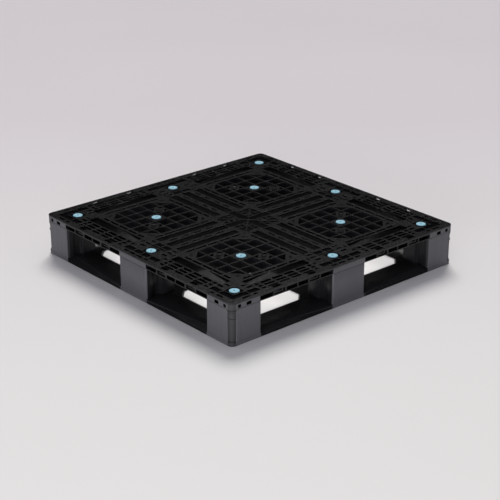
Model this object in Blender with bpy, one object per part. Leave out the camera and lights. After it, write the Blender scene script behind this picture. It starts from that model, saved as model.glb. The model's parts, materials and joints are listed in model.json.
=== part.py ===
"""Plastic pallet, 1100 x 1100 mm, four-way entry, with a window-frame bottom deck.

An open-grid upper deck moulding stands on nine hollow posts over a thin lower
deck moulding, and twelve rubber anti-slip grommets are pressed into the upper
deck: eight over the outer posts and four over the fork ways.

Frame: +Z up, origin at the centre of the underside. -Y is called front, -X left.
Units: metres in the scene, millimetres in the constants below.
"""
import math
import bpy
import bmesh
from mathutils import Vector
from mathutils.geometry import delaunay_2d_cdt

MM = 0.001

# ---------------------------------------------------------------- plan sizes
SIZE = 1100.0            # length and width over the rims
HALF = SIZE / 2.0
CORNER_R = 20.0          # vertical corner radius
POST_EDGE = 419.0        # inner face of the corner and side posts, from centre
POST_HALF = 79.0         # half width of the middle posts along a side
CENTRE_HALF = 79.0       # half width of the centre post
GAP = 0.3                # clearance between pieces that touch

# ---------------------------------------------------------------- heights
Z_RIM = 160.0            # raised rim, the highest face
Z_DECK = 157.6           # perimeter band and cross band
Z_GRID = 155.8           # sunk grid panels over the fork ways
Z_PLATE = 154.6          # floor of the smooth channels
Z_PAD = 156.4            # sunk pads round the corner grommets
Z_SKIN = 151.4           # underside of the smooth plates
Z_RIB = 135.0            # underside of the ribs, the roof of the fork ways
Z_NOTCH = 138.5          # floor of the blind notches in the rim
Z_PANEL_RIB = 128.0      # underside of the deeper ribs of the grid panels
Z_SEAT = 134.0           # underside of the deck over the posts and the rim skirt
Z_LOWER = 14.5           # top of the lower deck
Z_ENTRY = 7.0            # top of the lower deck at the fork entries
Z_LIP = 2.6              # top of the lower deck at the wheel openings

# ---------------------------------------------------------------- deck pattern
PANEL_C = 249.0          # centre of a grid panel, also of its grommet
PITCH = 57.27            # pitch of the grid ribs
RIB = 6.6                # width of the grid ribs
PANEL_HALF = 170.0       # half size of the sunk panel
PANEL_RIBS_HALF = 147.0  # half size of the deeper ribs under it
DIAMOND = 26.0           # half diagonal of the square bosses in two cells
RING_IN, RING_OUT = 152.0, 162.0     # slot row round the grid, from panel centre
ROW_Y = (474.0, 494.0, 513.0)        # slot rows of the perimeter band
ROW_W = 11.0
TIE_PITCH = 54.5         # pitch of the ribs across the perimeter band
TIE_W = 9.0
RIM_IN = 520.5           # inner edge of the raised rim
SKIRT = 541.5            # inner face of the rim skirt

# ---------------------------------------------------------------- grommets
POST_GROMMET = 464.0     # grommets over the outer posts, from centre
HEAD_R, HEAD_SEAT_R = 18.5, 20.5
NECK_R, NECK_HOLE_R = 12.0, 12.9
FOOT_R = 17.0
Z_HEAD = 158.6
Z_WEB_TOP, Z_WEB_LOW = 152.8, 146.6  # web of the deck that a grommet clips round
Z_FOOT = 141.0
GROMMET_BORE = 3.4
GROMMET_SIDES = 12

# ---------------------------------------------------------------- lower deck
WHEEL_LO, WHEEL_HI = 81.0, 420.0     # wheel openings, from centre
WHEEL_CUT = 38.0                     # corner cut of a wheel opening
RAMP = 22.0                          # width of the ramp round a wheel opening
ENTRY_RUN = 45.0                     # width of the ramp at a fork entry

# ---------------------------------------------------------------- posts
WALL = 3.6
POST_TOP = Z_SEAT - GAP
POST_LOW = Z_LOWER + GAP
FLUTE_A, FLUTE_B = 33.0, 69.0        # flute in the fork-way walls, from the outer face
FLUTE_D = 12.0


# ================================================================= helpers
def reset():
    for ob in list(bpy.data.objects):
        bpy.data.objects.remove(ob, do_unlink=True)
    for me in list(bpy.data.meshes):
        bpy.data.meshes.remove(me)


def plastic(name, colour, roughness, specular=0.5):
    mat = bpy.data.materials.new(name)
    mat.use_nodes = True
    bsdf = mat.node_tree.nodes["Principled BSDF"]
    bsdf.inputs["Base Color"].default_value = (*colour, 1.0)
    bsdf.inputs["Roughness"].default_value = roughness
    bsdf.inputs["Metallic"].default_value = 0.0
    bsdf.inputs["Specular IOR Level"].default_value = specular
    return mat


def rect(x0, y0, x1, y1):
    return [(x0, y0), (x1, y0), (x1, y1), (x0, y1)]


def circle(cx, cy, r, n):
    return [(cx + r * math.cos(2 * math.pi * (i + 0.5) / n),
             cy + r * math.sin(2 * math.pi * (i + 0.5) / n)) for i in range(n)]


def rounded_square(half, r, steps=4):
    pts = []
    for k, (sx, sy) in enumerate(((1, 1), (-1, 1), (-1, -1), (1, -1))):
        for i in range(steps + 1):
            a = math.pi / 2 * (k + i / steps)
            pts.append((sx * (half - r) + r * math.cos(a), sy * (half - r) + r * math.sin(a)))
    return pts


def symmetric(shapes):
    """Every shape in its eight mirror and quarter-turn places, each kept once."""
    seen, out = set(), []
    for shape in shapes:
        for swap in (False, True):
            for sx in (1, -1):
                for sy in (1, -1):
                    pts = [(sx * (y if swap else x), sy * (x if swap else y)) for x, y in shape]
                    cx = sum(p[0] for p in pts) / len(pts)
                    cy = sum(p[1] for p in pts) / len(pts)
                    key = (round(cx, 2), round(cy, 2), len(pts), round(sum(p[0] ** 2 for p in pts), 1))
                    if key not in seen:
                        seen.add(key)
                        out.append(pts)
    return out


def mirrored(shapes):
    """Every shape in its four mirror places, each kept once."""
    seen, out = set(), []
    for shape in shapes:
        for sx in (1, -1):
            for sy in (1, -1):
                pts = [(sx * x, sy * y) for x, y in shape]
                cx = sum(p[0] for p in pts) / len(pts)
                cy = sum(p[1] for p in pts) / len(pts)
                key = (round(cx, 2), round(cy, 2), len(pts))
                if key not in seen:
                    seen.add(key)
                    out.append(pts)
    return out


class Level:
    """A flat or sloping stretch of surface inside one outline.

    z is its height; edge_z is the height of the outline where it meets its
    surround, when that differs (a vertical step joins the two).
    """

    def __init__(self, outline, z, inside=(), rim_z=None):
        self.outline, self.z, self.inside = outline, z, list(inside)
        self.rim_z = rim_z          # optional list: height of each outline point


class Solid:
    """A moulding built from a top surface, a bottom surface and walls."""

    def __init__(self, name):
        self.name = name
        self.bm = bmesh.new()
        self.through = {}

    def ring(self, outline, z):
        zs = z if isinstance(z, (list, tuple)) else [z] * len(outline)
        return [self.bm.verts.new((x, y, zz)) for (x, y), zz in zip(outline, zs)]

    def wall(self, a, b):
        n = len(a)
        for i in range(n):
            j = (i + 1) % n
            self.bm.faces.new((a[i], a[j], b[j], b[i]))

    def fill(self, rings, axes=(0, 1)):
        """Triangles over the first ring, leaving the other rings open."""
        flat, loops = [], []
        for ring in rings:
            start, n = len(flat), len(ring)
            flat += ring
            area = sum(ring[i].co[axes[0]] * ring[(i + 1) % n].co[axes[1]]
                       - ring[(i + 1) % n].co[axes[0]] * ring[i].co[axes[1]] for i in range(n))
            loop = list(range(start, start + n))
            loops.append(loop if area > 0 else loop[::-1])
        points = [Vector((v.co[axes[0]], v.co[axes[1]])) for v in flat]
        found = delaunay_2d_cdt(points, [], loops, 1, 1e-5)
        back = [origins[0] for origins in found[3]]
        for tri, owners in zip(found[2], found[5]):
            if owners == [0]:
                self.bm.faces.new([flat[back[i]] for i in tri])

    def surface(self, level, boundary, side):
        """Fill one level; its own outline is the ring 'boundary'."""
        rings = [boundary]
        for child in level.inside:
            if isinstance(child, Level):
                inner_z = child.rim_z if child.rim_z else child.z
                step = self.ring(child.outline, inner_z)
                if child.z == level.z or child.rim_z:
                    outer = step
                else:
                    outer = self.ring(child.outline, level.z)
                    self.wall(outer, step)
                rings.append(outer)
                self.surface(child, step, side)
            else:
                key = (round(sum(p[0] for p in child), 2), round(sum(p[1] for p in child), 2), len(child))
                ring = self.ring(child, level.z)
                if key in self.through:
                    self.wall(self.through.pop(key), ring)
                else:
                    self.through[key] = ring
                rings.append(ring)
        self.fill(rings)

    def finish(self, material):
        assert not self.through, "a through hole is missing from one face of " + self.name
        bm = self.bm
        for v in bm.verts:
            v.co *= MM
        bmesh.ops.recalc_face_normals(bm, faces=bm.faces)
        if bm.calc_volume(signed=True) < 0:
            bmesh.ops.reverse_faces(bm, faces=bm.faces)
        me = bpy.data.meshes.new(self.name)
        bm.to_mesh(me)
        bm.free()
        return add(self.name, me, material)


def add(name, mesh, material, location=(0, 0, 0)):
    ob = bpy.data.objects.new(name, mesh)
    ob.location = [c * MM for c in location]
    if not mesh.materials:
        mesh.materials.append(material)
    bpy.context.scene.collection.objects.link(ob)
    ob.parent = PALLET
    return ob


# ================================================================= upper deck
def grid_lines():
    return [PANEL_C + PITCH * k for k in (-2.5, -1.5, -0.5, 0.5, 1.5, 2.5)]


def panel_holes():
    """Through holes of the +X +Y grid panel, nearer half of the diagonal first."""
    g = grid_lines()
    r = RIB / 2
    holes = []
    for i in range(5):
        for j in range(5):
            x0, x1, y0, y1 = g[i] + r, g[i + 1] - r, g[j] + r, g[j + 1] - r
            cx, cy = (x0 + x1) / 2, (y0 + y1) / 2
            if (i, j) == (2, 2):
                continue
            if (i, j) in ((1, 3), (3, 1)):
                d, m = DIAMOND, 2.4
                k = (x1 - x0) / 2
                for sx in (1, -1):
                    for sy in (1, -1):
                        holes.append([(cx + sx * k, cy + sy * (d - k + m)),
                                      (cx + sx * k, cy + sy * k),
                                      (cx + sx * (d - k + m), cy + sy * k)])
                continue
            if i in (0, 4) and j in (0, 4):
                sx, sy = (1 if i == 0 else -1), (1 if j == 0 else -1)
                k = (x1 - x0) / 2
                holes.append([(cx - sx * (k - 4), cy + sy * k), (cx + sx * k, cy + sy * k),
                              (cx + sx * k, cy - sy * (k - 4))])
                continue
            holes.append(rect(x0, y0, x1, y1))
    for j in range(5):
        a, b = g[j] + r, g[j + 1] - r
        if j == 0:
            a = g[0] + 17
        if j == 4:
            b = g[5] - 17
        for s in (1, -1):
            lo, hi = sorted((PANEL_C + s * RING_IN, PANEL_C + s * RING_OUT))
            holes.append(rect(a, lo, b, hi))
            holes.append(rect(lo, a, hi, b))
    return holes


def band_slots():
    """Slots of the perimeter band along the +Y side, right half."""
    c = [PANEL_C + TIE_PITCH * k for k in (-2, -1, 0, 1, 2)]
    t, w = TIE_W / 2, ROW_W / 2
    out = []
    for y in ROW_Y:
        for a, b in zip(c[:-1], c[1:]):
            out.append(rect(a + t, y - w, b - t, y + w))
    return out


def pinwheel(x0, y0, x1, y1, cx, cy, h, rib=4.0):
    """A square pocket round (cx, cy) and four pockets turning round it."""
    return [rect(cx - h, cy - h, cx + h, cy + h),
            rect(x0, y0, cx + h, cy - h - rib),
            rect(cx + h + rib, y0, x1, cy + h),
            rect(cx - h, cy + h + rib, x1, y1),
            rect(x0, cy - h, cx - h - rib, y1)]


def split(a, b, n, rib=4.0):
    w = (b - a - rib * (n - 1)) / n
    return [(a + k * (w + rib), a + k * (w + rib) + w) for k in range(n)]


def upper_deck(material):
    s = Solid("upper_deck")
    outer = rounded_square(HALF, CORNER_R)

    # ---- holes that go right through
    panels = mirrored([h for h in panel_holes()])
    slots = symmetric(band_slots())
    ladder = symmetric([rect(27.0, y - 17.0, 34.5, y + 17.0) for y in (167.0, 224.0, 281.0, 338.0)])
    notches = symmetric([rect(150.0, 523.5, 185.0, 539.5), rect(315.0, 523.5, 350.0, 539.5)])

    n = 12
    post_spots = [(sx * POST_GROMMET, sy * POST_GROMMET) for sx in (-1, 0, 1) for sy in (-1, 0, 1) if sx or sy]
    panel_spots = [(sx * PANEL_C, sy * PANEL_C) for sx in (-1, 1) for sy in (-1, 1)]

    def seat(p):
        return Level(circle(p[0], p[1], HEAD_SEAT_R, n), Z_WEB_TOP, [circle(p[0], p[1], NECK_HOLE_R, n)])

    # ---- top surface
    top_panels = []
    for sx in (1, -1):
        for sy in (1, -1):
            c = (sx * PANEL_C, sy * PANEL_C)
            h = PANEL_HALF
            inside = [p for p in panels if p[0][0] * sx > 0 and p[0][1] * sy > 0]
            inside.append(seat(c))
            top_panels.append(Level(rect(c[0] - h, c[1] - h, c[0] + h, c[1] + h), Z_GRID, inside))
    channels = [Level(o, Z_PLATE) for o in symmetric([
        rect(-17.0, 112.0, 17.0, 386.0),
        rect(46.0, 112.0, 76.0, 386.0)])]
    corner_pads = []
    for sx in (1, -1):
        for sy in (1, -1):
            pad = [(sx * x, sy * y) for x, y in ((440.0, 402.0), (516.0, 402.0), (516.0, 516.0),
                                                 (402.0, 516.0), (402.0, 440.0))]
            corner_pads.append(Level(pad, Z_PAD, [seat((sx * POST_GROMMET, sy * POST_GROMMET))]))
    side_pads = []
    for sx, sy in ((1, 0), (-1, 0), (0, 1), (0, -1)):
        cx, cy = sx * POST_GROMMET, sy * POST_GROMMET
        side_pads.append(Level(rect(cx - 40.0, cy - 40.0, cx + 40.0, cy + 40.0), Z_PAD, [seat((cx, cy))]))
    inner = Level(rounded_square(RIM_IN, 6.0, 1), Z_DECK,
                  top_panels + channels + corner_pads + side_pads + slots + ladder)
    top = Level(outer, Z_RIM, [inner] + [Level(o, Z_NOTCH) for o in notches])
    ring_top = s.ring(outer, Z_RIM)
    s.surface(top, ring_top, 1)

    # ---- bottom surface
    e, k = POST_EDGE, POST_HALF
    bay = [(k, SKIRT), (e, SKIRT), (e, e), (SKIRT, e), (SKIRT, k), (e, k), (e, -k), (SKIRT, -k), (SKIRT, -e), (e, -e),
           (e, -SKIRT), (k, -SKIRT), (k, -e), (-k, -e), (-k, -SKIRT), (-e, -SKIRT), (-e, -e), (-SKIRT, -e),
           (-SKIRT, -k), (-e, -k), (-e, k), (-SKIRT, k), (-SKIRT, e), (-e, e), (-e, SKIRT), (-k, SKIRT), (-k, e), (k, e)]
    pockets = []
    for a, b in split(113.0, 390.0, 3):
        pockets.append(rect(a, 426.0, b, 458.0))
    for a, b in split(112.0, 386.0, 3):
        pockets.append(rect(-15.0, a, 15.0, b))
        pockets.append(rect(48.0, a, 74.0, b))
    pockets = [Level(o, Z_SKIN) for o in symmetric(pockets)]
    necks = [circle(p[0], p[1], NECK_HOLE_R, n) for p in panel_spots]
    feet = [Level(circle(p[0], p[1], HEAD_SEAT_R, n), Z_WEB_LOW, [hole]) for p, hole in zip(panel_spots, necks)]
    c = CENTRE_HALF
    centre = Level(rect(-c, -c, c, c), Z_SEAT,
                   [Level(rect(a0, b0, a1, b1), Z_SKIN) for a0, a1 in split(-c + 5, c - 5, 2)
                    for b0, b1 in split(-c + 5, c - 5, 2)])
    cells = [o for o in panels if max(abs(abs(sum(p[i] for p in o) / len(o)) - PANEL_C) for i in (0, 1)) < PANEL_RIBS_HALF]
    borders = [o for o in panels if o not in cells]
    blocks = []
    for (x, y), foot in zip(panel_spots, feet):
        inside = [o for o in cells if o[0][0] * x > 0 and o[0][1] * y > 0]
        blocks.append(Level(rect(x - PANEL_RIBS_HALF, y - PANEL_RIBS_HALF, x + PANEL_RIBS_HALF, y + PANEL_RIBS_HALF),
                            Z_PANEL_RIB, [foot] + inside))
    bays = Level(bay, Z_RIB, [centre] + pockets + blocks + borders + slots + ladder)
    under = []
    for sx in (1, -1):
        for sy in (1, -1):
            for i, o in enumerate(pinwheel(424.0, 424.0, 543.0, 543.0, POST_GROMMET, POST_GROMMET, 21.0)):
                o = [(sx * x, sy * y) for x, y in o]
                if i == 0:
                    under.append(Level(o, Z_WEB_LOW, [circle(sx * POST_GROMMET, sy * POST_GROMMET, NECK_HOLE_R, n)]))
                elif i == 3:
                    # keeps clear of the rounded outer corner
                    o = [(sx * x, sy * y) for x, y in rect(443.0, 489.0, 536.0, 536.0)]
                    under.append(Level(o, Z_SKIN))
                else:
                    if i == 2:
                        o = [(sx * x, sy * y) for x, y in rect(489.0, 424.0, 536.0, 485.0)]
                    if i == 4:
                        o = [(sx * x, sy * y) for x, y in rect(424.0, 443.0, 439.0, 536.0)]
                    under.append(Level(o, Z_SKIN))
    for turn in range(4):
        co, si = (1, 0, -1, 0)[turn], (0, 1, 0, -1)[turn]

        def spin(pts, co=co, si=si):
            return [(x * co - y * si, x * si + y * co) for x, y in pts]
        for i, o in enumerate(pinwheel(424.0, -74.0, 540.0, 74.0, POST_GROMMET, 0.0, 21.0)):
            if i == 0:
                cx, cy = spin([(POST_GROMMET, 0.0)])[0]
                under.append(Level(spin(o), Z_WEB_LOW, [circle(cx, cy, NECK_HOLE_R, n)]))
            else:
                under.append(Level(spin(o), Z_SKIN))
    bottom = Level(outer, Z_SEAT, [bays] + under)
    ring_low = s.ring(outer, Z_SEAT)
    s.surface(bottom, ring_low, -1)

    # ---- skirt round the outside, with the windows of the open rim
    windows = []
    ties = [143.0, 250.0, 357.0]
    edges = [104.0] + ties + [418.0]
    for a, b in zip(edges[:-1], edges[1:]):
        lo = a + (5.0 if a != edges[0] else 0.0)
        hi = b - (5.0 if b != edges[-1] else 0.0)
        windows.append((lo, hi, 138.0, 151.0))
    windows += [(461.0, 482.0, 138.5, 150.0), (507.0, 520.0, 138.5, 150.0)]
    m = len(outer)
    for i in range(m):
        j = (i + 1) % m
        a, b = ring_top[i], ring_top[j]
        c_, d = ring_low[j], ring_low[i]
        if (a.co - b.co).length < 100.0:
            s.bm.faces.new((a, b, c_, d))
            continue
        along = 0 if abs(a.co.y - b.co.y) < 1e-6 else 1
        across = 1 - along
        face = a.co[across]
        depth = face - math.copysign(7.0, face)
        rings = [[a, b, c_, d]]
        for lo, hi, z0, z1 in windows:
            for sgn in (1, -1):
                spots = ((lo * sgn, z0), (hi * sgn, z0), (hi * sgn, z1), (lo * sgn, z1))
                front, back = [], []
                for u, z in spots:
                    co = [0.0, 0.0, z]
                    co[along], co[across] = u, face
                    front.append(s.bm.verts.new(co))
                    co[across] = depth
                    back.append(s.bm.verts.new(co))
                s.wall(front, back)
                s.bm.faces.new(back)
                rings.append(front)
        s.fill(rings, (along, 2))
    return s.finish(material)


# ================================================================= lower deck
def octagon(cx, cy, half, cut):
    k = half - cut
    return [(cx + x, cy + y) for x, y in ((half, -k), (half, k), (k, half), (-k, half),
                                          (-half, k), (-half, -k), (-k, -half), (k, -half))]


def lower_deck(material):
    s = Solid("lower_deck")
    cw = (WHEEL_LO + WHEEL_HI) / 2
    hw = (WHEEL_HI - WHEEL_LO) / 2

    # outline with extra points where the fork entries start and end
    base = rounded_square(HALF, CORNER_R)
    outline, heights = [], []
    marks = [POST_EDGE - 1.0, POST_EDGE - 4.0, POST_HALF + 4.0, POST_HALF + 1.0]
    marks = marks + [-v for v in reversed(marks)]
    marks_z = [Z_LOWER, Z_ENTRY, Z_ENTRY, Z_LOWER] * 2
    m = len(base)
    for i in range(m):
        a, b = base[i], base[(i + 1) % m]
        outline.append(a)
        heights.append(Z_LOWER)
        if math.hypot(a[0] - b[0], a[1] - b[1]) < 100.0:
            continue
        along = 0 if abs(a[1] - b[1]) < 1e-6 else 1
        seq = list(zip(marks, marks_z))
        if a[along] < b[along]:
            seq = seq[::-1]
        for u, z in seq:
            p = [a[0], a[1]]
            p[along] = u
            outline.append(tuple(p))
            heights.append(z)

    # top: ramps at the entries and round the wheel openings
    openings, ramps = [], []
    for sx in (1, -1):
        for sy in (1, -1):
            hole = octagon(sx * cw, sy * cw, hw, WHEEL_CUT)
            openings.append(hole)
            crest = octagon(sx * cw, sy * cw, hw + RAMP, WHEEL_CUT + RAMP * 0.586)
            ramps.append((crest, hole))
    ring_top = s.ring(outline, heights)
    ring_low = s.ring(outline, 0.0)
    s.wall(ring_top, ring_low)
    run = HALF - ENTRY_RUN
    crest_ring = s.ring(rounded_square(run, 10.0, 1), Z_LOWER)
    s.fill([ring_top, crest_ring])
    rings = [crest_ring]
    low_rings = [ring_low]
    for crest, hole in ramps:
        c_ring = s.ring(crest, Z_LOWER)
        h_ring = s.ring(hole, Z_LIP)
        l_ring = s.ring(hole, 0.0)
        s.fill([c_ring, h_ring])
        s.wall(h_ring, l_ring)
        rings.append(c_ring)
        low_rings.append(l_ring)
    s.fill(rings)

    # bottom: weight-saving pockets between ribs
    pockets = []
    for a, b in split(118.0, 383.0, 3, 6.0):
        pockets.append(rect(a, 448.0, b, 508.0))
        pockets.append(rect(-50.0, a, 50.0, b))
    pockets.append(rect(428.0, 428.0, 524.0, 524.0))
    pockets.append(rect(4.0, 428.0, 66.0, 524.0))
    pockets.append(rect(4.0, 4.0, 66.0, 66.0))
    for o in symmetric(pockets):
        front = s.ring(o, 0.0)
        back = s.ring(o, Z_LOWER - 3.5)
        s.wall(front, back)
        s.bm.faces.new(back)
        low_rings.append(front)
    s.fill(low_rings)
    return s.finish(material)


# ================================================================= posts
def tube(name, outline, cells, material):
    s = Solid(name)
    top = Level(outline, POST_TOP, cells)
    ring_top = s.ring(outline, POST_TOP)
    s.surface(top, ring_top, 1)
    low = Level(outline, POST_LOW, cells)
    ring_low = s.ring(outline, POST_LOW)
    s.surface(low, ring_low, -1)
    s.wall(ring_top, ring_low)
    return s.finish(material)


def corner_post(name, sx, sy, material):
    """Square post with a rounded, slightly sunk outer corner and a flute in each fork-way wall."""
    o, e, d = HALF, POST_EDGE, 3.0
    r = CORNER_R
    pts = [(e, e), (o - FLUTE_B, e), (o - FLUTE_B, e + FLUTE_D), (o - FLUTE_A, e + FLUTE_D), (o - FLUTE_A, e)]
    pts += [(o - 3.0, e), (o, e + 3.0)]
    pts += [(o, o - r - 2.0), (o - d, o - r)]
    for i in range(1, 4):
        a = math.pi / 2 * i / 4
        pts.append((o - d - (r - d) + (r - d) * math.cos(a), o - d - (r - d) + (r - d) * math.sin(a)))
    pts += [(o - r, o - d), (o - r - 2.0, o)]
    pts += [(e + 3.0, o), (e, o - 3.0)]
    pts += [(e, o - FLUTE_A), (e + FLUTE_D, o - FLUTE_A), (e + FLUTE_D, o - FLUTE_B), (e, o - FLUTE_B)]
    w = WALL
    x0, x1, x2, x3 = e + w, o - FLUTE_B - w, o - FLUTE_B, o - 8.0
    cells = [rect(x0, x0, x1, x1),
             rect(x2, e + FLUTE_D + w, x3, x1),
             rect(e + FLUTE_D + w, x2, x1, x3),
             rect(x2, x2, x3, x3)]
    outline = [(sx * x, sy * y) for x, y in pts]
    cells = [[(sx * x, sy * y) for x, y in c] for c in cells]
    return tube(name, outline, cells, material)


def side_post(name, turn, material):
    """Post in the middle of a side; turn 0 stands on the +X side."""
    o, e, k = HALF, POST_EDGE, POST_HALF
    pts = [(e, -k), (o - FLUTE_B, -k), (o - FLUTE_B, -k + FLUTE_D), (o - FLUTE_A, -k + FLUTE_D), (o - FLUTE_A, -k),
           (o - 6.0, -k), (o - 1.8, -k + 1.8), (o, -k + 6.0)]
    pts += [(x, -y) for x, y in reversed(pts)]
    w = WALL
    in0, in1 = -k + FLUTE_D + w, k - FLUTE_D - w
    cells = [rect(e + w, -k + w, o - FLUTE_B - w, -w / 2), rect(e + w, w / 2, o - FLUTE_B - w, k - w),
             rect(o - FLUTE_B, in0, o - w, -w / 2), rect(o - FLUTE_B, w / 2, o - w, in1)]
    co, si = (1, 0, -1, 0)[turn], (0, 1, 0, -1)[turn]

    def spin(p):
        return [(x * co - y * si, x * si + y * co) for x, y in p]
    return tube(name, spin(pts), [spin(c) for c in cells], material)


def centre_post(material):
    k, c, w = CENTRE_HALF, 6.0, WALL
    pts = [(k, -k + c), (k, k - c), (k - c, k), (-k + c, k), (-k, k - c), (-k, -k + c), (-k + c, -k), (k - c, -k)]
    cells = [rect(a0, b0, a1, b1) for a0, a1 in split(-k + w, k - w, 2, w) for b0, b1 in split(-k + w, k - w, 2, w)]
    return tube("post_centre", pts, cells, material)


# ================================================================= grommets
def grommet_mesh(material):
    """Turned rubber spool with a flared head, a neck and a foot, bored through."""
    web_top, web_low = Z_WEB_TOP + GAP, Z_WEB_LOW - GAP
    profile = [(GROMMET_BORE, Z_FOOT), (FOOT_R - 2.5, Z_FOOT), (FOOT_R, web_low), (NECK_R, web_low),
               (NECK_R, web_top), (HEAD_R, web_top), (HEAD_R - 1.0, Z_HEAD), (GROMMET_BORE, Z_HEAD)]
    bm = bmesh.new()
    rings = []
    for i in range(GROMMET_SIDES):
        a = 2 * math.pi * i / GROMMET_SIDES
        rings.append([bm.verts.new((r * math.cos(a) * MM, r * math.sin(a) * MM, z * MM)) for r, z in profile])
    n = len(profile)
    for i in range(GROMMET_SIDES):
        a, b = rings[i], rings[(i + 1) % GROMMET_SIDES]
        for k in range(n):
            bm.faces.new((a[k], b[k], b[(k + 1) % n], a[(k + 1) % n]))
    bmesh.ops.recalc_face_normals(bm, faces=bm.faces)
    if bm.calc_volume(signed=True) < 0:
        bmesh.ops.reverse_faces(bm, faces=bm.faces)
    me = bpy.data.meshes.new("grommet")
    bm.to_mesh(me)
    bm.free()
    me.materials.append(material)
    me.shade_smooth()
    me.set_sharp_from_angle(angle=math.radians(35))
    return me


# ================================================================= assembly
reset()
PALLET = bpy.data.objects.new("pallet", None)
bpy.context.scene.collection.objects.link(PALLET)

BLACK = plastic("black_polypropylene", (0.012, 0.012, 0.013), 0.42)
BLUE = plastic("light_blue_elastomer", (0.22, 0.62, 0.80), 0.55)

upper_deck(BLACK)
lower_deck(BLACK)

for fy, sy in (("front", -1), ("rear", 1)):
    for fx, sx in (("left", -1), ("right", 1)):
        corner_post("post_%s_%s" % (fy, fx), sx, sy, BLACK)
side_post("post_middle_right", 0, BLACK)
side_post("post_rear_middle", 1, BLACK)
side_post("post_middle_left", 2, BLACK)
side_post("post_front_middle", 3, BLACK)
centre_post(BLACK)

GROMMET = grommet_mesh(BLUE)
for fy, sy in (("front", -1), ("middle", 0), ("rear", 1)):
    for fx, sx in (("left", -1), ("middle", 0), ("right", 1)):
        if sx or sy:
            add("grommet_%s_%s" % (fy, fx), GROMMET, BLUE, (sx * POST_GROMMET, sy * POST_GROMMET, 0.0))
        if sx and sy:
            add("fork_way_grommet_%s_%s" % (fy, fx), GROMMET, BLUE, (sx * PANEL_C, sy * PANEL_C, 0.0))
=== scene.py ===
import json
import math

import bmesh
import bpy
from mathutils import Matrix, Vector
from mathutils.geometry import delaunay_2d_cdt

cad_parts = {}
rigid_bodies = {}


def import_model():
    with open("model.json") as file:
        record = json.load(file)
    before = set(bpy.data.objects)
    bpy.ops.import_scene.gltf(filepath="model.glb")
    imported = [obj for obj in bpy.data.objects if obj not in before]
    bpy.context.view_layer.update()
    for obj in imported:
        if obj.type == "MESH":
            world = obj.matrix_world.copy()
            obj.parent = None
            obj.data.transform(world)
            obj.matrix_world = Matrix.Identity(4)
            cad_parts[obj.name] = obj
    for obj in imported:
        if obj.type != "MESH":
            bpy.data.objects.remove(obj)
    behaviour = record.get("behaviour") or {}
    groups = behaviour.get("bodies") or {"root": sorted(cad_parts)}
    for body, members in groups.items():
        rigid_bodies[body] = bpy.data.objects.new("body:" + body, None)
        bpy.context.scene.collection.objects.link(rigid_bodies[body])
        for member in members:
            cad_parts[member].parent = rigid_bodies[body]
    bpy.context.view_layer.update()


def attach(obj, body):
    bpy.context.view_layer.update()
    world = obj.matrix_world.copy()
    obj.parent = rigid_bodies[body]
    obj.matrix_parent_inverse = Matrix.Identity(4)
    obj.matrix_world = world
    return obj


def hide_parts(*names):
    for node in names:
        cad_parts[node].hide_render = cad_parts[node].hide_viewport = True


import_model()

MM = 0.001
SCENE = bpy.context.scene

# ---------------------------------------------------------------- sizes
HALF = 550.0
CORNER_R = 20.0
POST_EDGE, POST_HALF = 419.0, 79.0
Z_RIM, Z_DECK, Z_GRID, Z_PLATE, Z_PAD = 160.0, 157.6, 156.2, 154.6, 156.0
Z_SKIN, Z_RIB, Z_SEAT = 150.4, 135.0, 134.0
Z_LOWER, Z_ENTRY, Z_LIP = 14.5, 7.0, 2.6
PANEL_C, PITCH, RIB, PANEL_HALF = 249.0, 57.27, 6.6, 170.0
RIM_IN, SKIRT = 520.5, 541.5
GROMMET_C = 464.0
HEAD_R, SEAT_R, NECK_R, NECK_HOLE_R, FOOT_R = 18.5, 20.5, 12.0, 12.9, 17.0
Z_HEAD, Z_WEB_TOP, Z_WEB_LOW, Z_FOOT = 158.6, 152.8, 146.6, 141.0
WHEEL_LO, WHEEL_HI, WHEEL_CUT, RAMP, ENTRY_RUN = 85.0, 416.0, 37.0, 22.0, 45.0
WALL, GAP = 3.6, 0.3
POST_TOP, POST_LOW = Z_SEAT - GAP, Z_LOWER + GAP
FLUTE_A, FLUTE_B, FLUTE_D = 33.0, 69.0, 12.0

# material indices on the mouldings
TOPS, PLATES, SKIRTS, UNDER, FLANGE, DARK, BARS, REVEAL, STRIPS, WELLS, CELLS = 0, 1, 2, 3, 4, 5, 6, 7, 8, 9, 10


# ================================================================= plan shapes
def rect(x0, y0, x1, y1):
    return [(x0, y0), (x1, y0), (x1, y1), (x0, y1)]


def circle(cx, cy, r, n):
    return [(cx + r * math.cos(2 * math.pi * (i + 0.5) / n),
             cy + r * math.sin(2 * math.pi * (i + 0.5) / n)) for i in range(n)]


def signed_area(pts):
    return sum(pts[i - 1][0] * pts[i][1] - pts[i][0] * pts[i - 1][1] for i in range(len(pts))) / 2


def ccw(pts):
    return list(pts) if signed_area(pts) > 0 else list(pts)[::-1]


def fillet(pts, r, steps=2):
    """The outline with every corner rounded to radius r."""
    out, m = [], len(pts)
    for i in range(m):
        p = Vector(pts[i])
        u, v = Vector(pts[i - 1]) - p, Vector(pts[(i + 1) % m]) - p
        lu, lv = u.length, v.length
        u, v = u / lu, v / lv
        half = math.acos(max(-1.0, min(1.0, u.dot(v)))) / 2
        rr = r[i] if isinstance(r, (list, tuple)) else r
        if rr <= 0 or half > 1.5:
            out.append(tuple(p))
            continue
        t = min(rr / math.tan(half), 0.45 * lu, 0.45 * lv)
        rr = t * math.tan(half)
        c = p + (u + v).normalized() * (rr / math.sin(half))
        a, b = p + u * t - c, p + v * t - c
        turn = math.atan2(a.x * b.y - a.y * b.x, a.dot(b))
        for k in range(steps + 1):
            w = turn * k / steps
            out.append((c.x + a.x * math.cos(w) - a.y * math.sin(w), c.y + a.x * math.sin(w) + a.y * math.cos(w)))
    return out


def rounded_square(half, r, steps=4):
    return fillet(rect(-half, -half, half, half), r, steps)


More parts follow.
